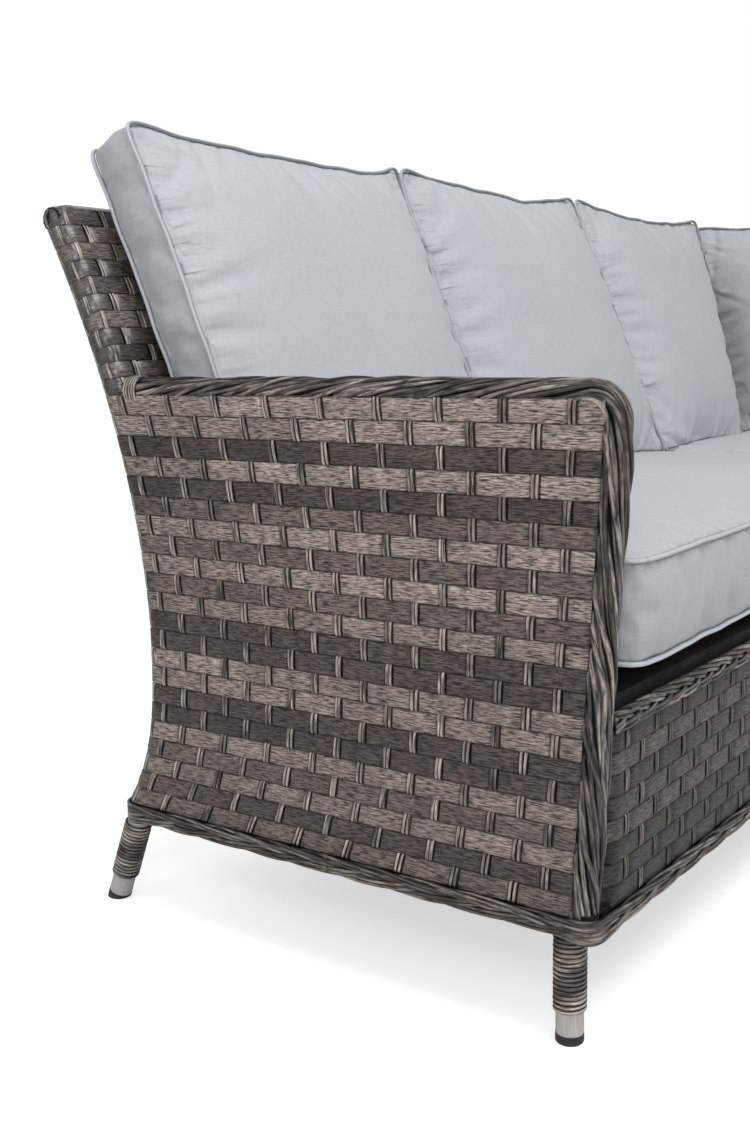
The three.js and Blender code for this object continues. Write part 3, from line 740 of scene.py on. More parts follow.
sideNodes = ["arm_weave_outer", "arm_weave_inner", "return_end_weave"]
backNodes = ["back_weave_outer", "back_weave_inner", "back_end_weave", "return_weave_outer", "return_weave_inner"]
layRows("weave_rows_foot", 0, 8, ["apron_weave"], 11)
layRows("weave_rows_low", 8, 15, sideNodes, 12)
layRows("weave_rows_high", 15, 22, sideNodes, 14)
layRows("weave_rows_top", 22, rowCount, backNodes, 13)
print("woven rows laid")


# A stave is a pair of round strands over and under the rows
rowShares = (0, 0.14, 0.5, 0.86)
staveTones = (0.62, 0.86)


def stavePair(plan, number, low, high, rng, flip=1, shade=1):
    w = weave
    places = [rowStart(r) + share * (rowStart(r + 1) - rowStart(r)) for r in range(rowCount) for share in rowShares]
    heights = np.array([low] + [z for z in places if low + 2 < z < high - 2] + [high])
    row = np.floor(rowNumber(heights + 0.001))
    part = rowNumber(heights) - row
    swing = 1 - (1 - np.clip(2 * np.minimum(part, 1 - part), 0, 1)) ** 5
    swing *= np.where(shownStave(float(number), row) < 0.5, 1, -1)
    lift = w["behind"] + (w["front"] - w["behind"]) * (swing + 1) / 2
    tone = rng.uniform(*staveTones) * shade
    pairs = []
    for sideStep in (-1, 1):
        wander = 0.011 * np.sin(heights / 23 + rng.uniform(0, 6)) + rng.uniform(-0.008, 0.008)
        a = number + sideStep * w["strandSpacing"] / w["stavePitch"] + wander
        line = np.stack(plan(a, heights), axis=1)
        sideways = np.stack(plan(a + 0.02, heights), axis=1) - line
        out = unit(np.cross(sideways, np.gradient(line, axis=0)) * flip)
        pairs.append(strand(line + out * lift[:, None], out, w["strandWidth"], w["strandHeight"], 6,
                            tone + rng.uniform(-0.12, 0.12), rng))
    return pairs


# How low a stave can start and how high it can climb before it meets the slanting corner
heightTable = np.linspace(139, 852, 240)
cornerTable = cornerStart(heightTable)
stave = {"foot": weave["firstRow"] + 1, "top": topZ + 12.5, "armTop": rowStart(weave["armRows"]), "deck": 350,
         "returnFoot": 340, "apronTop": 314, "shortest": 60, "apronPaintedShade": 0.6}


def heightsFor(number, start):
    x = start + panelHalf + (number - noseMiddle - noseHalf) * weave["stavePitch"]
    fits = heightTable[cornerTable > x + 6]
    if len(fits) == 0:
        return 0.0, 0.0
    gaps = np.where(np.diff(fits) > 4)[0]
    low = float(fits[gaps[-1] + 1] if len(gaps) else fits[0])
    return low, min(stave["top"], float(fits[-1]))


def makeStaves():
    rng = random.Random(21)
    foot, top, armTop, deck = (stave[k] for k in ("foot", "top", "armTop", "deck"))
    # Plan, stave numbers, foot and top, and the way out; a number in place of foot and top is the start of
    # a back whose corner sets them
    runs = {
        "staves_side": [(sideStave, range(17), (foot, armTop), -1), (backStave, (17, 18), (foot, top), -1),
                        (backStave, (15, 16), (armTop, top), -1)],
        "staves_rear": [(backStave, range(19, 81), 0, -1)],
        "staves_return": [(returnStave, range(17, 45), returnFront, 1),
                          (returnStave, (15, 16), (stave["returnFoot"], top), 1)],
        "staves_inside": [(backStave, range(-36, 14), (deck, top), -1), (backStave, (14,), (armTop, top), -1),
                          (returnStave, range(15), (deck, top), 1), (armInside, range(16), (deck, armTop), 1)],
        "staves_apron": [(apronWall, range(16, -37, -1), (foot, stave["apronTop"]), 1)],
    }
    for name, parts in runs.items():
        # Apron staves are darkened by painted shade as well
        shade = stave["apronPaintedShade"] if name == "staves_apron" else 1
        strands = []
        for plan, numbers, ends, flip in parts:
            for k in numbers:
                low, high = ends if isinstance(ends, tuple) else heightsFor(k, ends)
                if high - low > stave["shortest"]:
                    strands += stavePair(plan, k, low, high, rng, flip, shade)
        addStrands(name, strands)


makeStaves()
print("staves set")


# Ropes and braids follow lines with rounded corners
def roundedLine(corners, radius, step=5.0):
    corners = [np.array(c, dtype=float) for c in corners]
    line = [corners[0]]
    for before, here, after in zip(corners, corners[1:], corners[2:]):
        into, out = unit(here - before), unit(after - here)
        turn = math.acos(float(np.clip(into @ out, -1, 1)))
        inward = unit(out - into * (into @ out))
        centre = here - into * (radius * math.tan(turn / 2)) + inward * radius
        for angle in np.linspace(0, turn, 9):
            line.append(centre - inward * radius * math.cos(angle) + into * radius * math.sin(angle))
    line = np.array(line + [corners[-1]])
    length = lengthsOf(line)
    places = np.linspace(0, length[-1], int(length[-1] / step) + 1)
    return np.stack([np.interp(places, length, line[:, i]) for i in range(3)], axis=1)


rope = {"strands": 17, "over": 8, "reach": 14.6, "tucked": 7.5, "halfWidth": 3.1, "halfHeight": 2.3,
        "armLay": 460, "postLay": 560, "bend": 21, "foot": 131, "postLength": 455, "blend": 60,
        "waves": ((15, 24), (30, 50), (17, 27)), "tones": (0.26, 0.42, 0.55, 0.72)}
collar = {"rings": 5, "pitch": 4.0, "radius": 18.6, "halfWidth": 1.75, "halfHeight": 1.6, "gap": 8, "sag": 3.2}


# The rim of the arm: strands laid round the tube, with a few loose ones over them
def makeArmRope():
    rng = random.Random(31)
    r, armTop = rope, backShape["armTop"]
    end = float(faceY(np.array(float(armTop)), -1, panelHalf)) + 3
    line = roundedLine([(panelHalf, postY(r["foot"]), r["foot"]), (panelHalf, postY(armTop), armTop),
                        (panelHalf, end, armTop)], r["bend"])
    outer = np.tile((-1.0, 0, 0), (len(line), 1))
    front = np.cross(unit(np.gradient(line, axis=0)), outer)
    front *= np.sign(front[0] @ np.array([0, -1, 0]))
    length = lengthsOf(line)
    onArm = smoothStep((length - r["postLength"]) / r["blend"])
    rate = 1 / r["postLay"] + onArm * (1 / r["armLay"] - 1 / r["postLay"])
    twist = -2 * math.pi * np.cumsum(rate * np.gradient(length))
    strands = []
    for i in range(r["strands"] + r["over"]):
        loose = i >= r["strands"]
        share = (i - r["strands"]) / r["over"] if loose else i / r["strands"]
        waves = [np.sin(length / rng.uniform(*span) + rng.uniform(0, 6)) for span in r["waves"]]
        angle = 2 * math.pi * share + twist + 0.07 * waves[0] + (0.3 if loose else 0.06) * waves[1]
        exposed = smoothStep((np.sin(angle) + 0.36) / 0.24)
        lift = r["reach"] + (1.5 + 1.1 * waves[2] if loose else 0.5 * waves[2])
        reach = r["tucked"] + (lift - r["tucked"]) * exposed
        out = outer * np.cos(angle)[:, None] + front * np.sin(angle)[:, None]
        tone = rng.choice(r["tones"]) + rng.uniform(-0.08, 0)
        strands.append(strand(line + out * reach[:, None], out, r["halfWidth"] * (1 + 0.14 * waves[0]),
                              r["halfHeight"], 8, tone, rng))
    addStrands("arm_rim_rope", strands, ["arm_rim_braid"])
    angle = np.radians(np.linspace(-32, 212, 26))
    out = np.stack([-np.cos(angle), np.zeros_like(angle), np.sin(angle)], axis=1)
    rings = []
    for j in range(collar["rings"]):
        place = np.array([panelHalf, end - collar["gap"] - collar["pitch"] * j, armTop]) + out * collar["radius"]
        place[:, 1] += collar["sag"] * np.sin(angle)
        rings.append(strand(place, out, collar["halfWidth"], collar["halfHeight"], 8, rng.uniform(0.75, 1.0), rng))
    addStrands("arm_collar_rings", rings, ["arm_braid_collar"])


braids = {
    "foot": {"height": 127.85, "left": -1.6, "front": -19.6, "right": 1931.6, "rear": 616.6, "corner": 19,
             "bundles": 5, "perBundle": 2, "lay": 350, "halfTall": 6.6, "halfDeep": 2.6, "width": 2.35,
             "depth": 1.9, "cornerGap": 2.35, "cornerReach": 42},
    "apron": {"height": 325.6, "start": 33, "end": 1866, "front": -19.0,
              "bundles": 5, "perBundle": 2, "lay": 190, "halfTall": 7.4, "halfDeep": 3.0, "width": 2.7,
              "depth": 2.1},
}
braidShadowCore = {"behind": 1.6, "halfWidth": 7.5, "halfHeight": 1.2, "tone": 0.02}
braidTones = (0.3, 0.48, 0.66)


# A plait of bundles of thin strands, over a near-black flat core that paints the shade in the gaps between them; near
# each spot the strands lie side by side
def plait(line, out, b, rng, spots=()):
    length = lengthsOf(line)
    total = length[-1]
    turns = max(round(total / b["lay"]), 1)
    count = b["bundles"] * b["perBundle"]
    tall, deep = [], []
    for i in range(b["bundles"]):
        angle = 2 * math.pi * (turns * length / total + i / b["bundles"])
        for j in range(b["perBundle"]):
            shift = (j - (b["perBundle"] - 1) / 2) * b["width"] * 1.7
            tall.append(b["halfTall"] * np.cos(angle) + shift)
            deep.append(b["halfDeep"] * np.sin(2 * angle) + 0.35 * (j == 1))
    tall, deep = np.array(tall), np.array(deep)
    near = np.zeros(len(line))
    for x, y in spots:
        reach = np.hypot(line[:, 0] - x, line[:, 1] - y)
        here = np.exp(-(reach / b["cornerReach"]) ** 2)
        order = np.argsort(np.argsort(tall[:, np.argmin(reach)]))
        level = (order - (count - 1) / 2) * b["cornerGap"]
        tall = tall + here * (level[:, None] - tall)
        deep = deep * (1 - here)
        near += here
    c = braidShadowCore
    shadowCore = strand(line - out * c["behind"] - np.outer(2.5 * near, (0, 0, 1)), out, c["halfWidth"],
                  c["halfHeight"], 6, c["tone"], rng)
    # Painted shade: the core is dark all round
    shadowCore["edge"][:] = 1
    strands = [shadowCore]
    swell = 2 * math.pi * round(total / 70) * length / total
    for k in range(count):
        place = line + out * deep[k][:, None]
        place[:, 2] += tall[k] - 2.0 * near
        width = b["width"] * (1 + 0.1 * near + 0.1 * np.sin(swell + k))
        tone = rng.choice(braidTones) + rng.uniform(-0.06, 0.06)
        strands.append(strand(place, out, width, b["depth"], 6, tone, rng))
    return strands


def makeBraids():
    rng = random.Random(41)
    b = braids["foot"]
    middle = (b["front"] + b["rear"]) / 2
    spots = [(b["left"], b["front"]), (b["right"], b["front"]), (b["right"], b["rear"]), (b["left"], b["rear"])]
    corners = [(b["left"], middle)] + spots + [(b["left"], middle)]
    line = roundedLine([(x, y, b["height"]) for x, y in corners], b["corner"], 6)
    out = np.cross(unit(np.gradient(line, axis=0)), (0, 0, 1))
    out *= np.sign(out[0] @ np.array([-1, 0, 0]))
    addStrands("foot_braid", plait(line, out, b, rng, spots),
               ["bottom_braid_front", "bottom_braid_left", "bottom_braid_rear", "bottom_braid_right"])
    b = braids["apron"]
    line = roundedLine([(b["start"], b["front"], b["height"]), (b["end"], b["front"], b["height"])], 1)
    out = np.tile((0.0, -1, 0), (len(line), 1))
    addStrands("apron_braid", plait(line, out, b, rng), ["apron_top_braid"])


makeArmRope()
makeBraids()
print("rope and braids laid")


# Legs: bare tube, winding and rubber cap. Each place has its x and y and whether it leans right or back
legShape = {"top": 116.7, "radius": 14, "capHeight": 10, "capWall": 0.35, "capBevel": 2.6, "start": 32, "turns": 16.2,
            "pitch": 4.88, "halfWidth": 2.32, "halfHeight": 1.35, "seat": 15.5, "splay": 46, "turnSteps": 24}
legPlaces = {"front_left": (20, 17, 0, 0), "front_mid": (1187, 17, 0, 0), "front_right": (1922, 17, 1, 0),
             "rear_left": (20, 607, 0, 1), "rear_mid": (1187, 607, 0, 1), "rear_right": (1922, 607, 1, 1)}
coatLook = {
    "tube": {"scale": (900, 900, 40), "spread": 0.15, "dark": (0.42, 0.385, 0.36), "light": (0.56, 0.525, 0.5),
             "rough": (0.42, 0.3), "bump": (0.12, 0.0003), "inputs": {"Metallic": 0.15}},
    "rubber": {"scale": (900, 900, 900), "spread": 0.2, "dark": (0.012, 0.011, 0.011),
               "light": (0.03, 0.028, 0.027), "rough": (0.5, 0.68), "bump": (0.2, 0.0004), "inputs": {}},
}


# A coat with a fine grain, which its colour, gloss and bump follow
def coatMaterial(name, look):
    made, tree, shader = newMaterial(name)
    grain = addNoise(tree, objectPlace(tree), look["scale"], roughness=0.5)
    colour = addRamp(tree, grain, [(0.5 - look["spread"], look["dark"]), (0.5 + look["spread"], look["light"])])
    dress(tree, shader, colour, (grain, *look["bump"]),
          {"Roughness": mapped(tree, grain, look["rough"]), **look["inputs"]})
    return made


tubePaint = coatMaterial("taupe_painted_tube", coatLook["tube"])
rubber = coatMaterial("black_rubber_cap", coatLook["rubber"])


# A cylinder along the leg's axis; one with a bevel is cut level at the floor
def leanedCylinder(name, foot, up, low, high, radius, bevel=0.0):
    shape = bmesh.new()
    below = 12 if bevel else 0
    bmesh.ops.create_cone(shape, cap_ends=True, segments=40, radius1=radius, radius2=radius,
                          depth=high - low + below)
    bmesh.ops.translate(shape, verts=shape.verts[:], vec=(0, 0, (high + low - below) / 2))
    turn = Vector((0, 0, 1)).rotation_difference(Vector(up)).to_matrix().to_4x4()
    bmesh.ops.transform(shape, matrix=turn, verts=shape.verts[:])
    if bevel:
        cut = bmesh.ops.bisect_plane(shape, geom=shape.verts[:] + shape.edges[:] + shape.faces[:],
                                     plane_co=(0, 0, 0.02), plane_no=(0, 0, 1), clear_inner=True)
        rim = [g for g in cut["geom_cut"] if isinstance(g, bmesh.types.BMEdge)]
        bmesh.ops.holes_fill(shape, edges=rim, sides=0)
        bmesh.ops.bevel(shape, geom=rim, offset=bevel, segments=4, profile=0.5, affect="EDGES", material=-1)
    bmesh.ops.recalc_face_normals(shape, faces=shape.faces[:])
    smoothFaces(shape)
    place = Matrix.Translation(toFrame((0, 0, 0)).tolist()) @ Matrix.Scale(0.001, 4)
    bmesh.ops.transform(shape, matrix=place @ Matrix.Translation(Vector(foot)), verts=shape.verts[:])
    mesh = meshFrom(name, shape)
    mesh.set_sharp_from_angle(angle=math.radians(50))
    return addObject(name, mesh)


def makeLegs():
    g = legShape
    for name, (x, y, leanX, leanY) in legPlaces.items():
        rng = random.Random(50 + len(name))
        foot = np.array([x + g["splay"] * leanX, y + g["splay"] * leanY, 0.0])
        axis = np.array([x, y, g["top"]]) - foot
        height = np.linalg.norm(axis)
        up = axis / height
        tilt = (14 if leanX and leanY else 10) * math.hypot(up[0], up[1])
        tube = leanedCylinder("leg_tube_" + name, foot, up, g["capHeight"] + 0.3, height - tilt, g["radius"])
        finish(tube, tubePaint, ["leg_" + name])
        cap = leanedCylinder("leg_cap_" + name, foot, up, 0, g["capHeight"], g["radius"] + g["capWall"],
                             g["capBevel"])
        finish(cap, rubber, ["foot_cap_" + name])
        angle = np.linspace(0, g["turns"] * 2 * math.pi, int(g["turns"] * g["turnSteps"]) + 1)
        across = unit(np.cross((0, 1, 0), up))
        out = across * np.cos(angle)[:, None] + np.cross(up, across) * np.sin(angle)[:, None]
        rise = g["start"] / up[2] + g["halfWidth"] + g["pitch"] * angle / (2 * math.pi)
        wobble = 0.25 * np.sin(angle * 0.37 + rng.uniform(0, 6))
        line = foot + up * (rise + wobble * 0.6)[:, None] + out * (g["seat"] + 0.2 + wobble * 0.5)[:, None]
        coil = strand(line, out, g["halfWidth"], g["halfHeight"], 8, 0.5, rng)
        coil["tone"] = np.repeat((0.66 + 0.22 * np.sin(angle * 0.9 + rng.uniform(0, 6)))[:, None], 9, axis=1)
        addStrands("leg_wrap_" + name, [coil], ["leg_winding_" + name])


makeLegs()
print("legs dressed")


# Cushions: covers of cloth, which a simulation swells, with piping along their seams
cushionShape = {"draw": 9, "cornerPower": 34, "cornerFade": 14, "edgeFade": 12, "ear": 3, "bulge": 3,
                "crownShare": 0.8, "cell": 7.8, "seatCell": 9.5, "piping": 2.7, "pipingOut": 1.7, "nearness": 70,
                "dips": 61}
clothSettings = {"quality": 5, "mass": 0.25, "tension_stiffness": 12, "compression_stiffness": 12,
                 "shear_stiffness": 5, "bending_stiffness": 0.35, "use_pressure": True,
                 "uniform_pressure_force": 3.0, "shrink_min": -0.035, "vertex_group_mass": "sewn"}
cloth = {"frames": 20, "limit": 0.01}
cushions = {
    "seat_cushion_bench": {"body": "bench_cushion", "left": 52, "width": 1130},
    "seat_cushion_corner": {"body": "corner_cushion", "left": 1190, "width": 648},
    "back_cushion_1": {"body": "back_cushion_a", "left": 60, "width": 556, "foot": 556, "sides": (8, 2),
                       "rolled": (0, 9), "sag": (0, 5, 6, 7, 9, 14, 4)},
    "back_cushion_2": {"body": "back_cushion_b", "left": 624, "width": 556, "foot": 556, "sides": (2, 3),
                       "rolled": (9, 3), "sag": (0, 5, 6, 8, 16, 5, 3)},
    "back_cushion_3": {"body": "back_cushion_c", "left": 1190, "width": 575, "foot": 382.8, "sides": (3, 8),
                       "rolled": (5, 0), "sag": (0, 7, 12, 14, 13, 9, 3)},
    "back_cushion_4": {"body": "back_cushion_d", "left": 1432, "width": 575, "foot": 382.8, "turned": True,
                       "sides": (8, 8), "rolled": (0, 0), "sag": (3, 8, 9, 9, 7, 5, 2)},
}
seatCushion = {"front": -36, "rear": 515, "seam": 478, "boxing": 99, "crowns": (15, 28.4), "floor": 350.35}
backCushion = {"base": 486.3, "top": 944, "topFront": 622, "lean": 0.42, "boxing": 66, "crowns": (46, 19.7),
               "floor": 484}


def seatPlace(left):
    def place(u, v, w):
        return np.stack([left + u, seatCushion["front"] + v, seatCushion["seam"] - w], axis=-1)
    return place


def backPlace(left, width, foot, turned):
    b = backCushion
    rise = b["top"] - b["base"]
    slant = math.hypot(1, b["lean"])
    height = rise * slant
    up = np.array([b["lean"], 1]) / slant
    square = np.array([up[1], -up[0]])
    front = b["topFront"] - rise * b["lean"]

    def place(u, v, w):
        share = v / height
        narrowed = u * (foot + (width - foot) * share) / width
        depthY, depthZ = 1 + (square[0] - 1) * share, square[1] * share
        size = np.hypot(depthY, depthZ)
        x = left + narrowed
        y = front + up[0] * v + depthY / size * w
        z = b["base"] + up[1] * v + depthZ / size * w
        if turned:
            x, y = overMitre(x, y)
        return np.stack([x, y, z], axis=-1)
    return place, height


# Short creases that run inwards from a seam: side, place along it, slant, length, width and depth
pullShape = {"counts": {"left": 6, "right": 5, "top": 3, "foot": 3}, "place": (0.2, 0.8), "slant": (-0.5, 0.5),
             "length": (30, 115), "width": (8, 15), "depth": (2.0, 4.8)}


def drawPulls(rng):
    p = pullShape
    return [(side, (i + rng.uniform(*p["place"])) / count, rng.uniform(*p["slant"]), rng.uniform(*p["length"]),
             rng.uniform(*p["width"]), rng.uniform(*p["depth"]))
            for side, count in p["counts"].items() for i in range(count)]


def creases(u, v, width, height, pulls):
    depth = np.zeros_like(u)
    for side, share, slant, length, wide, deep in pulls:
        into, along, size = {"left": (u, v, height), "right": (width - u, v, height), "top": (height - v, u, width),
                             "foot": (v, u, width)}[side]
        off = (along - share * size - slant * into) / (wide * (0.6 + into / length * 0.6))
        line = np.exp(-off ** 2) - 0.45 * np.exp(-((off - 1.9) / 1.1) ** 2)
        depth += deep * line * np.exp(-(into / length) ** 2) * smoothStep(into / 9)
    return depth


def cushionForm(width, height, boxing, crowns, place, cell, rng, sides=(9, 9), rolled=(0, 0), sag=(0, 0)):
    c = cushionShape
    power = c["cornerPower"]
    phases = [rng.uniform(0, 6) for _ in range(8)]

    def outline(s, t):
        most = np.maximum(np.maximum(np.abs(s), np.abs(t)), 1e-6)
        fit = np.maximum(np.abs(s / most) ** power + np.abs(t / most) ** power, 1) ** (-1 / power)
        return s * fit, t * fit

    def ripple(t, size, k):
        return (0.8 * np.sin(t * size / 41 + phases[k]) + 0.5 * np.sin(t * size / 23 + phases[k + 1]))

    across = np.linspace(-1, 1, c["dips"])
    dips = np.interp(across, np.linspace(-1, 1, len(sag)), sag)
    dips = np.convolve(np.pad(dips, 4, "edge"), np.hanning(11)[1:-1] / np.hanning(11).sum(), "valid")

    def at(a, b, grow, w, front=0.0):
        corner = (np.abs(a) * np.abs(b)) ** c["cornerFade"]
        sideA, sideB = np.abs(a) ** c["edgeFade"], np.abs(b) ** c["edgeFade"]
        drawX = np.where(a > 0, sides[1], sides[0]) * (1 - b * b) - grow - 1.0 * corner
        drawY = c["draw"] * (1 - a * a) - grow - c["ear"] * corner
        drawY = drawY + np.interp(a, across, dips) * np.clip(b, 0, 1) ** 6 * (1 - sideA)
        w = w + front * np.where(a > 0, rolled[1], rolled[0]) * np.abs(a) ** c["cornerFade"] * (1 - b ** 8)
        drawX = drawX + sideA * np.where(a > 0, ripple(b, height, 0), ripple(b, height, 2))
        drawY = drawY + sideB * np.where(b > 0, ripple(a, width, 4), ripple(a, width, 6))
        return place(a * (width / 2 - drawX) + width / 2, b * (height / 2 - drawY) + height / 2, w)

    def nearTo(s, size):
        return np.clip(1 - (1 - np.abs(s)) * size / 2 / c["nearness"], 0, 1)

    nu, nv = round(width / cell), round(height / cell)
    nb = max(round(boxing / cell), 3)
    s, t = np.meshgrid(np.linspace(-1, 1, nu + 1), np.linspace(-1, 1, nv + 1), indexing="ij")
    a, b = outline(s, t)
    uv = np.stack([s * width / 2000, t * height / 2000], axis=2)
    full = ((1 - np.abs(s) ** 3) * (1 - np.abs(t) ** 3)) ** 0.8
    strips = []
    for depth, crown, sign in ((0, crowns[0], -1), (boxing, crowns[1], 1)):
        dent = creases((s + 1) * width / 2, (t + 1) * height / 2, width, height, drawPulls(rng))
        points = at(a, b, 0, depth + sign * (crown * c["crownShare"] * full - dent), 1.0 if sign < 0 else 0.0)
        strips.append({"points": points, "uv": uv + (0 if sign < 0 else 3), "tone": 0.2 + 0.8 * nearTo(s, width),
                       "edge": nearTo(t, height)})
    alongS, alongT = np.linspace(-1, 1, nu + 1), np.linspace(-1, 1, nv + 1)
    edgeS = np.concatenate([alongS, np.ones(nv), np.linspace(1, -1, nu + 1)[1:], -np.ones(nv)])
    edgeT = np.concatenate([-np.ones(nu + 1), alongT[1:], np.ones(nu), np.linspace(1, -1, nv + 1)[1:]])
    ringA, ringB = outline(edgeS, edgeT)
    share = np.linspace(0, 1, nb + 1)
    around = np.arange(len(edgeS))
    soft = 1 + 0.5 * np.sin(around / 5.3 + phases[0]) * np.sin(around / 2.9 + phases[1])
    ring = np.stack([at(ringA, ringB, c["bulge"] * np.sin(math.pi * share[i]) * soft,
                        np.full_like(ringA, boxing * share[i]), 1 - share[i]) for i in range(nb + 1)], axis=1)
    ring[-1] = ring[0]
    sewn = np.full(ring.shape[:2], 0.55)
    sewn[:, 0] = sewn[:, -1] = 1
    uv = gridOf(lengthsOf(ring[:, 0]) / 1000 + 7, boxing * share / 1000)
    # The boxing's tone of 0 gives it the painted shade of the boxing
    strips.append({"points": ring, "uv": uv, "tone": 0 * sewn, "edge": sewn})
    return strips, [ring[:, 0], ring[:, -1]], np.mean(ring.reshape(-1, 3), axis=0)


def pointsOf(mesh):
    flat = np.empty(len(mesh.vertices) * 3, dtype=np.float32)
    mesh.vertices.foreach_get("co", flat)
    return flat.reshape(-1, 3)


# The cover swells and gathers along its seams, which stay where they are sewn
def puff(piece, floorHeight):
    mesh = piece.data
    count = len(mesh.vertices)
    rest = pointsOf(mesh)
    held = np.zeros(count, dtype=bool)
    for key in ("tone", "edge"):
        values = np.empty(count, dtype=np.float32)
        mesh.attributes[key].data.foreach_get("value", values)
        held |= values > 0.999
    group = piece.vertex_groups.new(name="sewn")
    group.add([int(i) for i in np.nonzero(held)[0]], 1.0, "REPLACE")
    cover = piece.modifiers.new("cover", "CLOTH")
    for key, value in clothSettings.items():
        setattr(cover.settings, key, value)
    cover.settings.effector_weights.gravity = 0
    cover.collision_settings.use_collision = False
    cover.collision_settings.use_self_collision = False
    cover.point_cache.frame_start = 1
    cover.point_cache.frame_end = cloth["frames"]
    scene = bpy.context.scene
    for frameNumber in range(1, cloth["frames"] + 1):
        scene.frame_set(frameNumber)
    moved = pointsOf(piece.evaluated_get(bpy.context.evaluated_depsgraph_get()).data)
    piece.modifiers.remove(cover)
    step = moved - rest
    size = np.linalg.norm(step, axis=1, keepdims=True)
    step *= cloth["limit"] * np.tanh(size / cloth["limit"]) / np.maximum(size, 1e-9)
    result = rest + step
    result[:, 2] = np.maximum(result[:, 2], floorHeight / 1000)
    mesh.vertices.foreach_set("co", result.astype(np.float32).ravel())
    mesh.update()
    scene.frame_set(1)
    return float(np.max(np.linalg.norm(step, axis=1)))


plain, black = (1, 1, 1), (0, 0, 0)
clothShades = ((0.7, (0.436, 0.449, 0.482)), (1.0, (0.482, 0.496, 0.53)), (1.25, (0.507, 0.521, 0.556)))
# Painted shade: the boxing is darker than the faces, as it faces away from the light; painted shadow: a dark line
# beside each seam
boxingPaintedShade = [(0, (0.86, 0.86, 0.865)), (0.1, (0.86, 0.86, 0.865)), (0.2, plain)]
seamPaintedShadow = [(0.94, plain), (0.965, (0.66, 0.66, 0.68)), (1, (0.52, 0.52, 0.54))]
pipingPaintedShade = [(0.3, plain), (0.66, (0.74, 0.74, 0.76)), (1, (0.46, 0.46, 0.48))]


# Gathers at the seams that one attribute marks: a painted shadow line beside the seam, painted shade over the boxing,
# soft folds and a few deep puckers with painted shade in them
def addGathers(tree, uv, colour, height, gathers, key, scale, amount):
    near = attributeOf(tree, key)
    line = addRamp(tree, near, (boxingPaintedShade if key == "tone" else []) + seamPaintedShadow)
    spots = addNoise(tree, uv, [1.9 * v for v in scale], 0.0, 0.5, 0.5)
    pucker = addRamp(tree, spots, [(0.62, black), (0.74, plain)])
    grouped = addRamp(tree, addNoise(tree, uv, (7, 7, 1), 0.0), [(0.45, black), (0.6, plain)])
    for factor in (compute(tree, "POWER", near, 4.5), grouped, amount):
        pucker = compute(tree, "MULTIPLY", pucker, factor)
    # Painted shade in the puckers
    colour = multiplied(tree, colour, line, addRamp(tree, pucker, [(0, plain), (0.8, (0.66, 0.66, 0.69))]))
    height = compute(tree, "ADD", height, compute(tree, "MULTIPLY", pucker, -0.5 * gathers))
    folds = addNoise(tree, uv, scale, 1.0, 0.5, 0.4)
    for factor in (compute(tree, "POWER", near, 1.6), gathers):
        folds = compute(tree, "MULTIPLY", folds, factor)
    return colour, compute(tree, "ADD", height, folds)


# Cloth with a fine weave; a cover has gathers at its seams with painted shade and a painted shadow line, and piping
# has painted shade along its sides and underside
# light above 1 makes a lighter copy of the cloth, a painted highlight
def clothMaterial(name, fine, gathers, light=1.0):
    made, tree, shader = newMaterial(name)
    uv, place = alongUv(tree), objectPlace(tree)
    slub = compute(tree, "ADD", addNoise(tree, uv, (70, 800, 1)), addNoise(tree, uv, (800, 70, 1)))
    soil = addRamp(tree, addNoise(tree, place, (5, 5, 5), 2.0),
                   [(0.3, (0.965, 0.965, 0.972)), (0.7, (1.02, 1.02, 1.015))])
    shades = [(at, [light * v for v in shade]) for at, shade in clothShades]
    colour = multiplied(tree, addRamp(tree, slub, shades), soil)
    height = compute(tree, "MULTIPLY", slub, 0.0003 * fine)
    if gathers:
        for key, scale, amount in (("tone", (11, 62, 1), 1.0), ("edge", (62, 11, 1), 0.3)):
            colour, height = addGathers(tree, uv, colour, height, gathers, key, scale, amount)
        broad = compute(tree, "MULTIPLY", addNoise(tree, place, (15, 15, 15), 1.0), 0.6 * gathers)
        height = compute(tree, "ADD", height, broad)
    else:
        # Painted shade on the piping's sides and underside
        colour = multiplied(tree, colour, addRamp(tree, attributeOf(tree, "edge"), pipingPaintedShade))
    dress(tree, shader, colour, (height, 1.0, 1.0),
          {"Roughness": 0.88, "Sheen Weight": 0.15, "Sheen Roughness": 0.5})
    return made


linen = clothMaterial("pale_grey_linen", 0.5, 0.0045)
# Painted highlight: the piping is the linen made 12% lighter
pipingCloth = clothMaterial("pale_grey_piping", 1.0, 0, 1.12)


# Piping follows a closed seam, set out from it a little
def pipingAlong(seam, centre, rng):
    closed = np.concatenate([seam, seam[1:3]])
    along = unit(np.gradient(closed, axis=0))
    out = closed - centre
    out = unit(out - along * np.sum(out * along, axis=1, keepdims=True))
    line = closed + out * cushionShape["pipingOut"]
    return strand(line[1:-1], out[1:-1], cushionShape["piping"], cushionShape["piping"], 8, 0.5, rng)


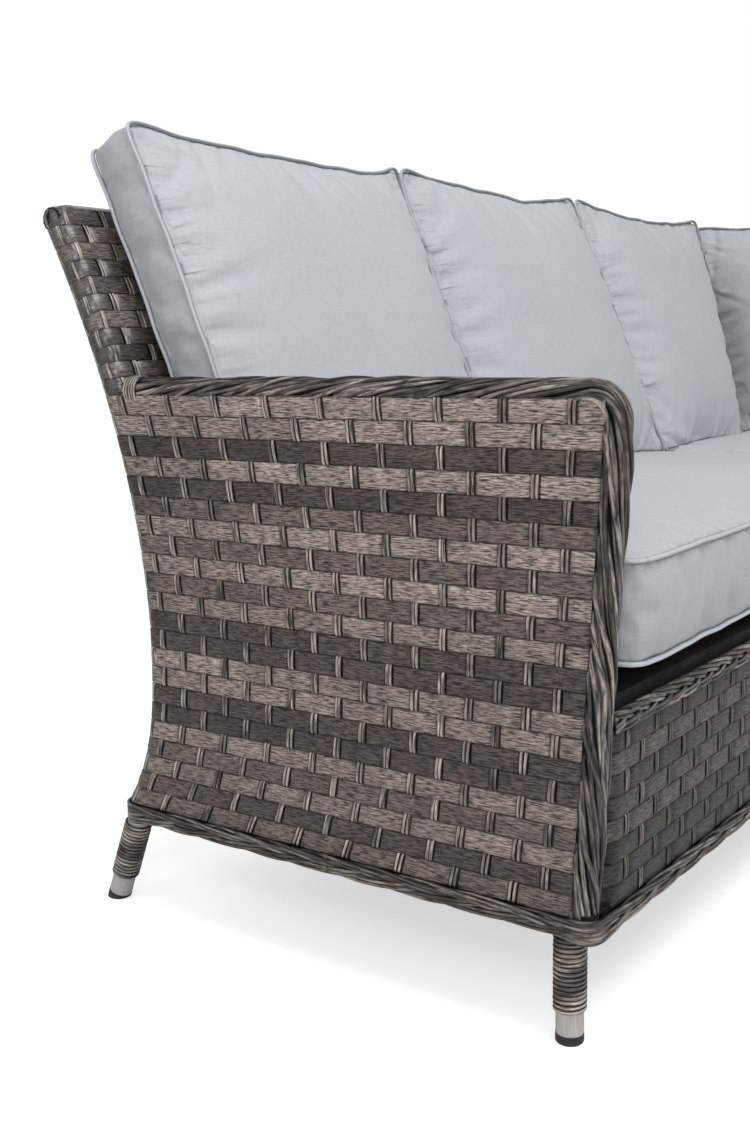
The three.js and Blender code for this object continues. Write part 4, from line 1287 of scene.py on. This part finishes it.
def makeCushions():
    for node, c in cushions.items():
        rng = random.Random(70 + c["left"])
        if "foot" in c:
            kind, cell = backCushion, cushionShape["cell"]
            place, height = backPlace(c["left"], c["width"], c["foot"], c.get("turned", False))
            details = (c["sides"], c["rolled"], c["sag"])
        else:
            kind, cell = seatCushion, cushionShape["seatCell"]
            place, height = seatPlace(c["left"]), seatCushion["rear"] - seatCushion["front"]
            details = ()
        strips, seams, centre = cushionForm(c["width"], height, kind["boxing"], kind["crowns"], place, cell, rng,
                                            *details)
        piece = gridPiece(node + "_cover", strips, closed=True)
        moved = puff(piece, kind["floor"])
        smooth = piece.modifiers.new("smooth", "SUBSURF")
        smooth.levels = smooth.render_levels = 1
        finish(piece, linen, [node], c["body"])
        piping = gridPiece(node + "_piping", [pipingAlong(seam, centre, rng) for seam in seams], closed=True)
        finish(piping, pipingCloth, [], c["body"])
        print("cushion", node, "moved", round(moved * 1000, 1), "mm")


makeCushions()


# The frame's own nodes that stay visible: the woven deck and the tubes inside the weave, both near black as painted
# shade seen in the slot under the cushions and through the gaps of the weave
matteInputs = {"Roughness": 0.85, "Specular IOR Level": 0.2}


def deckMaterial():
    made, tree, shader = newMaterial("woven_deck")
    place = objectPlace(tree)
    # Painted shade: the deck's weave is near black, darker than any strip
    rows = addNode(tree, "ShaderNodeTexBrick", {
        "Vector": place, "Scale": 1.0, "Color1": (0.013, 0.011, 0.0095, 1), "Color2": (0.03, 0.025, 0.022, 1),
        "Mortar": (0.004, 0.0035, 0.003, 1), "Mortar Size": 0.0012, "Brick Width": 0.07, "Row Height": 0.0222})
    shade = addRamp(tree, addNoise(tree, place, (95, 1000, 900), 4.0),
                    [(0.32, (0.35, 0.34, 0.33)), (0.68, (1.25, 1.24, 1.22))])
    dress(tree, shader, multiplied(tree, rows.outputs[0], shade), (rows.outputs[1], 0.5, -0.0015), matteInputs)
    return made


def tubeShadeMaterial():
    made, tree, shader = newMaterial("frame_tube_painted_shade")
    grain = addNoise(tree, objectPlace(tree), (700, 700, 700))
    # Painted shade: near black, for the shade seen through the weave's gaps
    colour = addRamp(tree, grain, [(0.35, (0.01, 0.009, 0.008)), (0.65, (0.022, 0.02, 0.018))])
    dress(tree, shader, colour, (grain, 0.2, 0.0004), matteInputs)
    return made


deckWeave, tubeShadeFill = deckMaterial(), tubeShadeMaterial()
for nodeName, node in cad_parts.items():
    if node.hide_render:
        continue
    node.data.materials.clear()
    node.data.materials.append(deckWeave if nodeName == "seat_deck_weave" else tubeShadeFill)
print("frame nodes finished")
